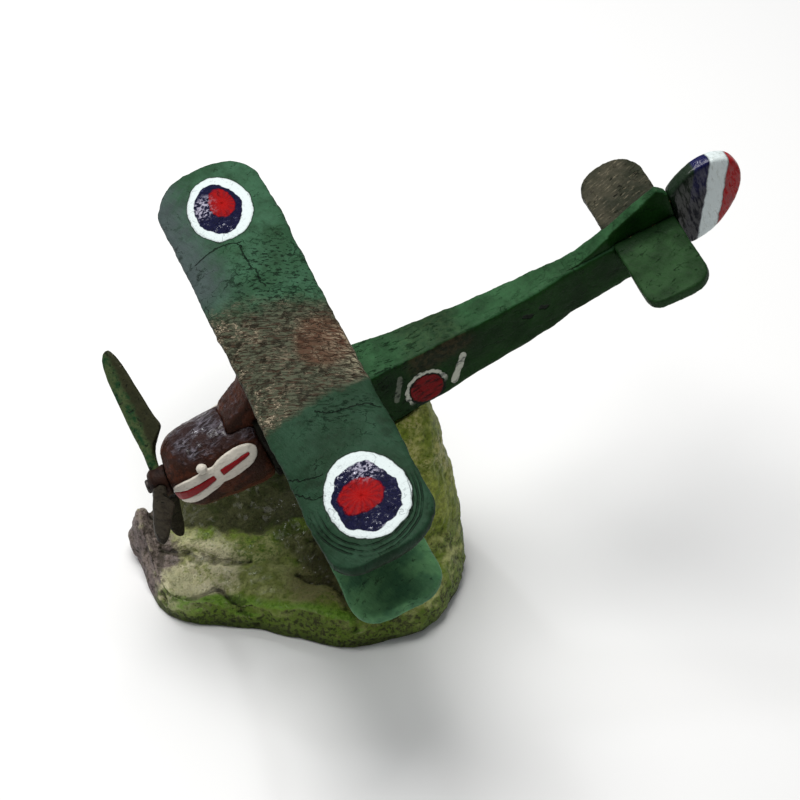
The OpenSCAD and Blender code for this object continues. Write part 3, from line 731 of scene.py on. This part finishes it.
def fuselage_paint():
    """Green with painted shade on the flanks, darker than the paler top, pitted, with a disc and two bars
    on each flank.
    """
    paint = Paint("fuselage_paint")
    vector, x, _, z = paint.aircraft_axes()
    slow = (paint.noise(vector, 18.0, 3.0, 0.55, 41.0) - 0.5) * 20.0
    quick = paint.noise(vector, 3.0, 3.0, 0.6, 42.0) - 0.5
    # Painted shade: faces that turn away from up take the darker flank greens
    upward = paint.facing()[2]
    upper = paint.band(upward + quick * 0.3, 0.4, 0.7)
    side = paint.mix(paint.band(slow, -4.0, 5.0), *SHADED_SIDE_GREENS)
    top = paint.mix(paint.band(slow + quick * 8.0, -4.0, 5.0), *TOP_GREENS)
    colour = paint.mix(upper, side, top)
    brown_area = paint.between(x + slow * 0.7, 140.0, 172.0, 6.0)
    brown_area = brown_area * paint.band(z + slow * 0.4 - x * 0.02, -7.0, 1.0)
    brown = paint.mix(paint.band(quick, -0.06, 0.08), *SIDE_BROWNS)
    colour = paint.mix(brown_area * (1.0 - upper * 0.7) * 0.7, colour, brown)
    pit = paint.noise(paint.stretched(vector, (3.0, 1.0, 1.0), 0.0), 1.7, 4.0, 0.65, 43.0)
    pits = paint.band(pit, 0.56, 0.66) * (0.3 + paint.band(x, 180.0, 120.0) * 0.6)
    colour = paint.mix(pits * 0.7, colour, BLACK_GREEN)
    colour, relief = worn(paint, vector, colour, 45.0, 0.7)
    # Painted shadow: the front end behind the cowl, dark like the gap under the wing
    colour = paint.mix(paint.band(x, *COWL_GAP_SHADOW) * 0.9, colour, NOSE_DARK)
    front_knock, rear_knock = (paint.path(x, z, ends) for ends in KNOCKS)
    knocks = paint.band(paint.least(front_knock, rear_knock) + quick * 3.0, 1.8, 1.0)
    colour = paint.mix(knocks * 0.85, colour, BLACK_GREEN)

    # Painted disc and bars on both flanks
    flank = paint.band(upward, 0.62, 0.45) * paint.band(upward, -0.7, -0.5)
    disc = oval(paint, x, z, FLANK_DISC, ONE_MM, quick * 2.0)
    rim_open = paint.band(z - x * 0.25 + 46.0 + quick * 4.0, -6.0, -1.0)
    rim = paint.between(disc + quick * 1.5, 9.8, 11.9, 0.25) * rim_open
    front_bar = paint.path(x, z, FRONT_BAR) + quick * 1.6
    rear_bar = paint.path(x, z, REAR_BAR) + quick * 1.6
    bars = paint.most(paint.band(front_bar, 1.7, 1.2) * 0.25, paint.band(rear_bar, 2.2, 1.7))
    whites = paint.most(rim, bars) * flank
    red = paint.band(disc, 9.2, 8.4) * flank
    dark = paint.between(disc, 8.2, 10.2, 0.3) * flank
    colour = paint.mix(dark * 0.85, colour, BLACK_GREEN)
    rubbed_white = paint.mix(paint.band(pit, 0.5, 0.7), FLANK_WHITE, SLATE)
    colour = paint.mix(whites * 0.9, colour, rubbed_white)
    pitted_red = paint.mix(paint.band(pit, 0.45, 0.62), *DISC_REDS)
    colour = paint.mix(red, colour, pitted_red)
    height = relief - pits * 1.6 + whites * 0.9 + red * 0.6 - knocks * 1.5
    return paint.finish(colour, 0.5 + quick * 0.4, height, 0.45)


def nose_paint():
    """Brown varnish, warm on the flanks and wrinkled, with a painted purple-grey sheen and glinting streaks
    along the top.
    """
    paint = Paint("nose_paint")
    vector = paint.aircraft_axes()[0]
    blend = paint.noise(vector, 10.0, 4.0, 0.65, 51.0)
    colour = paint.mix(paint.band(blend, 0.38, 0.6), NOSE_BROWN, NOSE_DARK)
    upward = paint.facing()[2]
    streak = paint.noise(paint.stretched(vector, (4.5, 1.0, 1.0), 8.0), 1.3, 4.0, 0.7, 52.0)
    # Painted reflection: a purple-grey sheen on the faces that look up, with pale streaks and crinkles in
    # patches
    top = paint.band(upward + (blend - 0.5) * 0.5, 0.5, 0.88)
    colour = paint.mix(top * 0.5, colour, NOSE_TOP_SHEEN)
    crinkle = paint.cracks(paint.stretched(vector, (2.4, 1.0, 1.0), 12.0), 3.4, 0.6, 5.0)
    patchy = paint.band(blend, 0.40, 0.60) * top
    sheen_streaks = paint.band(streak, 0.54, 0.66) * patchy
    colour = paint.mix(sheen_streaks * 0.45, colour, SHEEN_GREY)
    colour = paint.mix(crinkle * patchy * 0.35, colour, CRINKLE_SHEEN_GREY)
    warm = (1.0 - top) * paint.band(blend, 0.42, 0.56)
    colour = paint.mix(warm * 0.85, colour, NOSE_WARM)
    colour, relief = worn(paint, vector, colour, 53.0, 0.7)
    wet = patchy * paint.band(streak, 0.42, 0.56)
    height = relief + blend * 2.0 + streak * 0.6 + crinkle * patchy * 1.0
    return paint.finish(colour, 0.4 + (streak - 0.5) * 0.4, height, 0.7, wet * 0.8)


# Rudder: each stripe fades in at these millimetres aft of the propeller, along raked lines
RAKE = 0.42
NAVY_FROM = (294.2, 295.6)
WHITE_FROM = (302.9, 303.7)
RED_FROM = (313.7, 314.6)
AHEAD_OF_WHITE = (303.6, 302.6)
GROOVES = (303.3, 314.1)


def rudder_paint():
    """Dark green in front, then raked navy, white and red stripes with a groove between them, with painted
    shade on the flat sides ahead of the white.
    """
    paint = Paint("rudder_paint")
    vector, x, _, z = paint.aircraft_axes()
    quick = (paint.noise(vector, 6.0, 2.0, 0.5, 61.0) - 0.5) * 2.6
    raked = x - z * RAKE + quick
    smear = paint.noise(paint.stretched(vector, (1.0, 1.0, 5.0)), 1.3, 3.0, 0.65, 62.0)
    base = paint.mix(paint.noise(vector, 9.0, 3.0, 0.6, 63.0), DEEP_GREEN, RUDDER_GREEN)
    base, relief = worn(paint, vector, base, 64.0, 0.6)
    navy = paint.mix(paint.band(smear, 0.6, 0.76) * 0.4, *RUDDER_NAVIES)
    colour = paint.mix(paint.band(raked, *NAVY_FROM), base, navy)
    white = paint.mix(paint.band(smear, 0.5, 0.72) * 0.6, WHITE, RUBBED_WHITE)
    colour = paint.mix(paint.band(raked, *WHITE_FROM), colour, white)
    red = paint.mix(paint.band(smear, 0.46, 0.66) * 0.5, *RUDDER_REDS)
    colour = paint.mix(paint.band(raked, *RED_FROM), colour, red)
    low = paint.band(z + quick * 2.0, 26.0, 12.0) * paint.band(raked, *AHEAD_OF_WHITE)
    colour = paint.mix(low * 0.85, colour, BLACK_GREEN)
    # Painted shade: the flat sides ahead of the white are darker, the edges stay lighter
    sideways = paint.facing()[1]
    flank = paint.band(abs(sideways), 0.6, 0.9) * paint.band(raked, *AHEAD_OF_WHITE)
    colour = paint.shade(colour, 1.0 - flank * (0.25 + smear * 0.3))
    first_groove, second_groove = (paint.band(abs(raked - at), 0.7, 0.2) for at in GROOVES)
    groove = first_groove + second_groove
    colour = paint.mix(groove * 0.35, colour, NOSE_DARK)
    height = relief * 0.6 + smear * 0.9 - groove * 0.6
    wet = paint.band(smear, 0.4, 0.55)
    return paint.finish(colour, 0.4 + (smear - 0.5) * 0.3, height, 0.4, wet * 0.6)


# Rock: places in millimetres in the part's frame (x, y), ovals as (centre, radii)
SHELF = ((-60.0, 3.0), (26.0, 21.0))
PILLAR_FOOT = ((4.0, -34.0), (22.0, 26.0))
TUFTS = ((-22.0, 6.0), (14.0, 15.0))
PURPLE_CORNER = ((-80.0, 35.0), (19.0, 31.0))
NOSE_SHADE = ((0.0, 50.0), (60.0, 36.0))
LIP_LINE = ((-90.0, -6.0), (-66.0, -15.0), (-48.0, -22.0), (-20.0, -44.0), (10.0, -62.0))
# Line of painted shadow round the pillar's foot
FOOT_SHADOW_LINE = ((-6.0, 22.0), (-2.0, 2.0), (8.0, -24.0))
ROCK_CREASES = (
    ((-86.0, -2.0), (-66.0, -10.0), (-50.0, -9.0), (-41.0, -26.0), (-36.0, -50.0)),
    ((-66.0, 24.0), (-48.0, 12.0), (-30.0, -2.0)),
    ((-8.0, -20.0), (8.0, -34.0), (10.0, -62.0)),
    ((-66.0, 58.0), (-67.0, 42.0), (-68.0, 26.0), (-74.0, 11.0)),
)


def rock_paint():
    """Olive stone with moss, a pale shelf, a green lip, a purple corner and dark creases, with a painted
    shadow under the nose.
    """
    paint = Paint("rock_paint")
    vector, x, y, z = paint.world_axes()
    upward = paint.facing()[2]
    broad = paint.noise(vector, 34.0, 4.0, 0.6, 71.0)
    middle = paint.noise(vector, 11.0, 4.0, 0.62, 72.0)
    grain = paint.noise(vector, 2.2, 4.0, 0.7, 73.0)
    stray = (middle - 0.5) * 26.0
    pale = paint.mix(paint.band(grain, 0.35, 0.6), *PALE_STONES)
    moss = paint.mix(paint.band(grain, 0.4, 0.62), *MOSSES)
    earth = paint.mix(paint.band(grain, 0.4, 0.6), *BROWN_STONES)

    # Olive stone, paler on the shelf in front of the nose, brown near the pillar's foot
    colour = paint.mix(paint.band(middle, 0.42, 0.6), *OLIVE_STONES)
    shelf = patch(paint, x, y, SHELF, (middle - 0.5) * 1.2, 1.3, 0.75)
    colour = paint.mix(shelf * paint.band(middle + (grain - 0.5) * 0.8, 0.30, 0.50), colour, pale)
    foot = patch(paint, x, y, PILLAR_FOOT, (middle - 0.5) * 1.4, 1.2, 0.6)
    colour = paint.mix(foot * 0.7, colour, earth)
    green_area = paint.band(broad + (middle - 0.5) * 0.9, 0.5, 0.64) * (1.0 - shelf * 0.75)
    colour = paint.mix(green_area * 0.8, colour, moss)
    tufts = patch(paint, x, y, TUFTS, (middle - 0.5) * 1.6, 1.2, 0.7)
    tufts = tufts * paint.band(grain, 0.48, 0.58)
    colour = paint.mix(tufts * 0.75, colour, TUFT_GREEN)

    # Bright lip along the top of the front face, and a darker green below it on faces that turn away from
    # up
    past_lip = paint.path(x, y, LIP_LINE)
    lip = paint.band(past_lip + stray * 0.25, 9.0, 4.0) * paint.band(upward, 0.3, 0.7)
    bright = paint.mix(paint.band(grain, 0.42, 0.58), *LIP_GREENS)
    colour = paint.mix(lip * 0.85, colour, bright)
    side = paint.band(upward + (middle - 0.5) * 0.7, 0.6, 0.2)
    colour = paint.mix(side * 0.85, colour, paint.mix(paint.band(grain, 0.42, 0.56), SIDE_FACE_GREEN, moss))
    low = paint.band(z + stray * 0.3, 9.0, 2.0)
    colour = paint.mix(low * side * 0.6, colour, LOW_GREEN)

    # The pillar is olive and yellow-green, with bare stone showing through
    crag = paint.band(z + stray * 0.7, 26.0, 44.0)
    mossy_stone = paint.mix(paint.band(middle, 0.42, 0.6), *MOSSY_STONES)
    colour = paint.mix(crag * 0.8, colour, mossy_stone)
    bare = paint.band(broad, 0.5, 0.6) * crag * paint.band(grain, 0.4, 0.6)
    colour = paint.mix(bare * 0.7, colour, BARE_STONE)

    # Purple-grey stone at the front corner on the starboard side
    corner = patch(paint, x, y, PURPLE_CORNER, (middle - 0.5) * 1.2, 1.15, 0.8)
    grey = paint.mix(paint.band(grain, 0.4, 0.62), *PURPLE_STONES)
    colour = paint.mix(corner * 0.9, colour, grey)

    # Painted shadow under the nose and round the pillar's foot, below the wing's leading edge
    shade = patch(paint, x, y, NOSE_SHADE, (middle - 0.5) * 0.6, 1.12, 0.9)
    foot_shadow = paint.path(x, y, FOOT_SHADOW_LINE)
    shade = paint.most(shade, paint.band(foot_shadow + stray * 0.3, 11.0, 4.0) * 0.75)
    shade = shade * paint.band(z, 60.0, 40.0)
    colour = paint.mix(shade * 0.88, colour, NOSE_SHADOW_BROWN)

    # Dark creases, then paler ridges and fine dark specks all over
    wander = (paint.noise(vector, 8.0, 3.0, 0.6, 76.0) - 0.5) * 8.0
    crack = 0.0
    for corners in ROCK_CREASES:
        off = paint.path(x + wander, y + wander, corners)
        crack = paint.most(paint.band(off, 3.0, 0.6), crack)
    crack = crack * paint.band(upward, 0.3, 0.6) * paint.band(grain, 0.3, 0.5)
    colour = paint.mix(crack * 0.55, colour, CREASE_GREEN)

    edge = paint.edges()
    crease = paint.band(edge, 0.495, 0.44)
    ridge = paint.band(edge, 0.52, 0.58)
    colour = paint.mix(crease * 0.85, colour, PIT_EARTH)
    colour = paint.mix(ridge * paint.band(grain, 0.4, 0.55) * 0.4, colour, RIDGE_STONE)
    speck = paint.band(paint.noise(vector, 1.1, 3.0, 0.7, 75.0), 0.6, 0.7)
    colour = paint.mix(speck * 0.6, colour, SPECK_GREEN)
    tone = 0.44 + paint.band(grain, 0.34, 0.62) * 0.5 + middle * 0.72
    height = middle * 2.4 + grain * 1.8 - speck * 0.8 - crack * 1.2
    return paint.finish(paint.shade(colour, tone), 0.72 - grain * 0.3, height, 1.0, 0.1)


def filler_paint(name, colours, seed):
    """Thick paint over moulded filler, for the flashes and the bead."""
    paint = Paint(name)
    vector = paint.aircraft_axes()[0]
    smear = paint.noise(paint.stretched(vector, (3.0, 1.0, 1.0)), 1.3, 3.0, 0.6, seed)
    colour = paint.mix(paint.band(smear, 0.5, 0.75) * 0.55, *colours)
    crease = paint.band(paint.edges(), 0.48, 0.4)
    colour = paint.mix(crease * 0.5, colour, NOSE_DARK)
    return paint.finish(colour, 0.42, smear, 0.25, 0.2)


def bare_wood():
    """Plain sanded wood, for the dowels."""
    paint = Paint("bare_wood")
    vector = paint.aircraft_axes()[0]
    rings = paint.noise(paint.stretched(vector, (6.0, 6.0, 1.2)), 1.0, 4.0, 0.6, 81.0)
    colour = paint.mix(paint.band(rings, 0.4, 0.6), *WOODS)
    return paint.finish(colour, 0.6, rings, 0.1, 0.0)


def worn_steel():
    """Darkened steel with brown spots, for the nail and its washer."""
    paint = Paint("worn_steel")
    vector = paint.aircraft_axes()[0]
    spots = paint.noise(vector, 1.2, 4.0, 0.6, 85.0)
    colour = paint.mix(paint.band(spots, 0.5, 0.65), *STEELS)
    paint.surface.inputs["Metallic"].default_value = 0.85
    return paint.finish(colour, 0.35 + spots * 0.3, spots, 0.08, 0.0)


# ------------------------------------------------------------------- pieces


def hand_worked(amount, size, seed):
    """A relief for carved wood: broad knife work with finer marks, amount in millimetres."""

    def height(points, normals):
        broad = rough_noise(points, size, seed, 2)
        fine = rough_noise(points, size / 6, seed + 9, 2)
        return (broad + fine * 0.35) * amount * MM

    return height


def line_distance(across, along, corners):
    """Distance of each point from the line through the corners."""
    nearest = np.full(len(across), 1000.0)
    for start, end in zip(corners, corners[1:]):
        run = np.subtract(end, start)
        off = np.stack([across - start[0], along - start[1]], 1)
        share = np.clip(off @ run / (run @ run), 0.0, 1.0)
        nearest = np.minimum(nearest, np.linalg.norm(off - np.outer(share, run), axis=1))
    return nearest


# Cuts in the upper wing: depths in millimetres, an arc's width as a share of the tip oval's radii
# and a crack's width in millimetres
ARC_CUT = 0.35
ARC_WIDTH = 0.03
CRACK_CUT = 0.30
CRACK_WIDTH = 1.4


def upper_wing_relief(points, normals):
    """Knife work, deeper round the edge, with the tip arcs and the cracks cut in."""
    local = aircraft(points)
    up = normals[:, 2] > 0.5
    height = hand_worked(0.55, 0.030, 5)(points, normals) / MM
    height *= 1.0 + 0.9 * (np.abs(normals[:, 2]) < 0.5)
    band = np.clip((48.0 - np.abs(local[:, 1] + 2.0)) / 10.0, 0.0, 1.0)
    height += rough_noise(points, 0.0045, 15, 2) * (0.05 + 0.20 * band)
    across = (local[:, 0] - TIP_CENTRE[0]) / TIP_RADII[0]
    along = (local[:, 1] - TIP_CENTRE[1]) / TIP_RADII[1]
    ring = np.sqrt(across**2 + along**2)
    tip = np.clip((-local[:, 1] - 108.0) / 16.0, 0.0, 1.0) * up
    for reach in TIP_ARCS:
        height -= np.exp(-(((ring - reach) / ARC_WIDTH) ** 2)) * tip * ARC_CUT
    for corners in WING_CRACKS:
        off = line_distance(local[:, 0], local[:, 1], corners)
        height -= np.exp(-((off / CRACK_WIDTH) ** 2)) * up * CRACK_CUT
    return height * MM


# Rock relief: fade above the flat foot, the craggy corner (x, y) and its reach, all in metres,
# and the depth and width of the cut creases in millimetres
FOOT_FADE = 0.004
CRAG_CORNER = (-0.080, 0.036)
CRAG_REACH = 0.028
CREASE_CUT = 2.2
CREASE_WIDTH = 3.0


def rock_relief(points, normals):
    """Lumps, ridges, chips and grit, with a craggy corner and cut creases, and nothing at the flat foot."""
    flat_below = np.clip(points[:, 2] / FOOT_FADE, 0.0, 1.0)
    lumps = rough_noise(points, 0.030, 3, 3) * 1.9
    ridges = 0.4 - np.abs(rough_noise(points, 0.017, 13, 3)) * 1.6
    chips = np.abs(rough_noise(points, 0.0075, 17, 2)) * -0.8
    grit = rough_noise(points, 0.0030, 23, 2) * 0.35
    height = lumps + ridges * 1.1 + chips + grit
    from_corner = np.hypot(points[:, 0] - CRAG_CORNER[0], points[:, 1] - CRAG_CORNER[1])
    rough_corner = np.clip(1.3 - from_corner / CRAG_REACH, 0.0, 1.0)
    height += rough_corner * (rough_noise(points, 0.006, 29, 2) * 1.3 - 1.2)
    across, along = points[:, 0] / MM, points[:, 1] / MM
    wander = rough_noise(points, 0.010, 31, 2) * 2.0
    for corners in ROCK_CREASES:
        off = line_distance(across + wander, along + wander, corners)
        height -= np.exp(-((off / CREASE_WIDTH) ** 2)) * CREASE_CUT * (normals[:, 2] > 0.2)
    return height * flat_below * MM


# Blades, in metres from the hub: where the leaf starts, how soon it is full, and the tip
LEAF_START = 0.014
LEAF_RISE = 0.010
LEAF_TIP = 0.07


def blade_relief(piece, seed):
    """Thins a blank blade to a carved leaf: thick in the middle, thin at the edges and the tip."""
    mesh = piece.data
    points = points_of(mesh)
    middle = points.mean(0)
    axes = np.linalg.svd(points - middle, full_matrices=False)[2]
    hub = np.array(PROP_CENTRE)
    along = axes[0] * np.sign((middle - hub) @ axes[0])
    across, through = axes[1], axes[2]
    local = points - hub
    reach = local @ along
    mid_through = (middle - hub) @ through
    mid_across = (middle - hub) @ across
    half_chord = np.percentile(np.abs(local @ across - mid_across), 98)
    side = (local @ across - mid_across) / half_chord
    high = local @ through - mid_through
    leaf = np.clip((reach - LEAF_START) / LEAF_RISE, 0.0, 1.0)
    thin = 0.50 * np.clip(np.abs(side), 0.0, 1.0) ** 2 + 0.25 * np.clip(reach / LEAF_TIP, 0.0, 1.0)
    moved = points + np.outer(high * (-leaf * thin), through)
    moved += np.outer(rough_noise(points, 0.012, seed, 2) * 0.0003 * leaf, through)
    set_points(mesh, moved)


lower_paint = plain_paint("lower_wing_paint", LIT_LOWER_WING_GREENS, 101.0)
body_paint = fuselage_paint()
cowl_paint = nose_paint()
strut_paint = plain_paint("strut_paint", STRUT_GREENS, 111.0, pitted=0.4)
tail_paint = plain_paint("tail_paint", TAIL_GREENS, 121.0, pitted=0.6, root_shade=11.0)
tail_brown_paint = plain_paint("tail_brown_paint", TAIL_BROWNS, 127.0, pitted=0.9, streaks=0.25)
green_blade = blade_paint("blade_paint", GREEN_BLADE)
# The two lower blades get the dark set: painted shade
shaded_blade = blade_paint("dark_blade_paint", SHADED_BLADE)
hub_paint = plain_paint("hub_paint", HUB_BROWNS, 141.0, dirt=0.7, pitted=0.6)
white_filler = filler_paint("white_filler", FILLER_WHITES, 151.0)
red_filler = filler_paint("red_filler", FILLER_REDS, 157.0)

# Knife work: (height in millimetres, size in metres, seed)
STRUT_KNIFE = (0.20, 0.012)
WHITE_KNIFE = (0.15, 0.005, 97)
RED_KNIFE = (0.10, 0.004, 101)

# Wooden pieces on the airframe: (node, cell size in metres, rounding passes, knife work, paint, slot)
AIRFRAME = (
    ("lower_wing_port", 0.0009, 14, (0.50, 0.024, 31), lower_paint, "lower_wing_paint"),
    ("lower_wing_starboard", 0.0009, 14, (0.50, 0.024, 37), lower_paint, "lower_wing_paint"),
    ("fuselage", 0.0009, 10, (0.60, 0.026, 41), body_paint, "fuselage_paint"),
    ("fin", 0.0006, 8, (0.20, 0.012, 43), body_paint, "fuselage_paint"),
    ("nose_cowl", 0.0008, 6, (0.55, 0.010, 47), cowl_paint, "nose_paint"),
    ("cabane_fairing", 0.0008, 14, (0.55, 0.010, 53), cowl_paint, "nose_paint"),
    ("strut_port_front", 0.0006, 5, (*STRUT_KNIFE, 69), strut_paint, "strut_paint"),
    ("strut_port_rear", 0.0006, 5, (*STRUT_KNIFE, 68), strut_paint, "strut_paint"),
    ("strut_starboard_front", 0.0006, 5, (*STRUT_KNIFE, 74), strut_paint, "strut_paint"),
    ("strut_starboard_rear", 0.0006, 5, (*STRUT_KNIFE, 73), strut_paint, "strut_paint"),
    ("tailplane_port", 0.0006, 14, (0.30, 0.014, 61), tail_paint, "tail_paint"),
    ("tailplane_starboard", 0.0006, 14, (0.45, 0.010, 67), tail_brown_paint, "tail_brown_paint"),
    ("rudder", 0.0006, 40, (0.25, 0.014, 71), rudder_paint(), "rudder_paint"),
)
# Filler pieces on the nose, in the same order of values
FILLER = (
    ("flash_port_white", 0.0003, 8, WHITE_KNIFE, white_filler, "white_paint"),
    ("flash_port_red", 0.0003, 5, RED_KNIFE, red_filler, "red_paint"),
    ("flash_starboard_white", 0.0003, 8, WHITE_KNIFE, white_filler, "white_paint"),
    ("flash_starboard_red", 0.0003, 5, RED_KNIFE, red_filler, "red_paint"),
    ("flash_port_bead", 0.0003, 4, (0.20, 0.003, 103), white_filler, "white_paint"),
)
# Blades: (name, seed, paint)
BLADES = (
    ("prop_blade_top", 73, green_blade),
    ("prop_blade_port", 79, shaded_blade),
    ("prop_blade_low", 83, shaded_blade),
)

carved(
    "upper_wing_carved", "upper_wing", "airframe", 0.0008, 22, upper_wing_relief,
    upper_wing_paint())
for ending, rows in (("_carved", AIRFRAME), ("_moulded", FILLER)):
    for node_name, cell, rounds, knife, look, slot in rows:
        carved(node_name + ending, node_name, "airframe", cell, rounds, hand_worked(*knife), look)
carved("rock_moulded", "rock_base", "airframe", 0.0011, 4, rock_relief, rock_paint())
for node_name, seed, look in BLADES:
    blade = carved(node_name + "_carved", node_name, "propeller", 0.0005, 14, None, look)
    blade_relief(blade, seed)
carved(
    "prop_hub_carved", "prop_hub", "propeller", 0.0005, 4, hand_worked(0.08, 0.006, 89),
    hub_paint)

# The CAD nodes that are seen as they are: dowels of wood, nail and washer of steel
wood = bare_wood()
steel = worn_steel()
for name, cad_node in nodes.items():
    if cad_node.hide_render:
        continue
    metal = name in ("prop_nail", "prop_washer")
    cad_node.data.materials.clear()
    cad_node.data.materials.append(steel if metal else wood)


# -------------------------------------------------------------------- stage


FLOOR_HALF = 6.0
FLOOR_COLOUR = (0.86, 0.86, 0.86)

# Camera: azimuth and elevation of the view, the point looked at, distance and lens
AZIMUTH = math.radians(-19.2)
ELEVATION = math.radians(42.0)
LOOK_AT = Vector((0.0483, -0.0186, 0.1234))
DISTANCE = 1.5
LENS = 135.0
BACK = Vector((
    math.sin(AZIMUTH) * math.cos(ELEVATION),
    -math.cos(AZIMUTH) * math.cos(ELEVATION),
    math.sin(ELEVATION)))

# Lamps: (name, place, size, watts, colour), all turned to the middle of the model
MODEL_MIDDLE = Vector((0.05, 0.0, 0.09))
LAMPS = (
    ("key", (-0.15, 0.30, 1.50), 1.1, 26.0, (1.0, 0.99, 0.97)),
    ("glint", (-0.40, 1.15, 1.30), 0.14, 2.6, (0.96, 0.98, 1.0)),
)
SKY_COLOUR = (0.95, 0.97, 1.0)
SKY_STRENGTH = 0.27


def add_floor():
    bm = bmesh.new()
    bmesh.ops.create_grid(bm, x_segments=1, y_segments=1, size=FLOOR_HALF)
    mesh = bpy.data.meshes.new("floor")
    bm.to_mesh(mesh)
    bm.free()
    mesh.materials.append(Paint("floor_white").finish(FLOOR_COLOUR, 0.9))
    floor = bpy.data.objects.new("floor", mesh)
    bpy.context.scene.collection.objects.link(floor)


def add_lamp(name, place, size, power, colour):
    data = bpy.data.lights.new(name, "AREA")
    data.shape = "SQUARE"
    data.size = size
    data.energy = power
    data.color = colour
    lamp = bpy.data.objects.new(name, data)
    lamp.location = place
    lamp.rotation_euler = (MODEL_MIDDLE - Vector(place)).to_track_quat("-Z", "Y").to_euler()
    bpy.context.scene.collection.objects.link(lamp)


def add_world():
    world = bpy.data.worlds.new("studio")
    world.use_nodes = True
    sky = world.node_tree.nodes["Background"]
    sky.inputs["Color"].default_value = (*SKY_COLOUR, 1.0)
    sky.inputs["Strength"].default_value = SKY_STRENGTH
    bpy.context.scene.world = world


def add_camera():
    data = bpy.data.cameras.new("camera")
    data.lens = LENS
    data.sensor_width = 36.0
    data.clip_end = 20.0
    camera = bpy.data.objects.new("camera", data)
    camera.location = LOOK_AT + BACK * DISTANCE
    camera.rotation_euler = BACK.to_track_quat("Z", "Y").to_euler()
    bpy.context.scene.collection.objects.link(camera)
    bpy.context.scene.camera = camera


add_floor()
for lamp_values in LAMPS:
    add_lamp(*lamp_values)
add_world()
bpy.context.scene.view_settings.view_transform = "Standard"
add_camera()
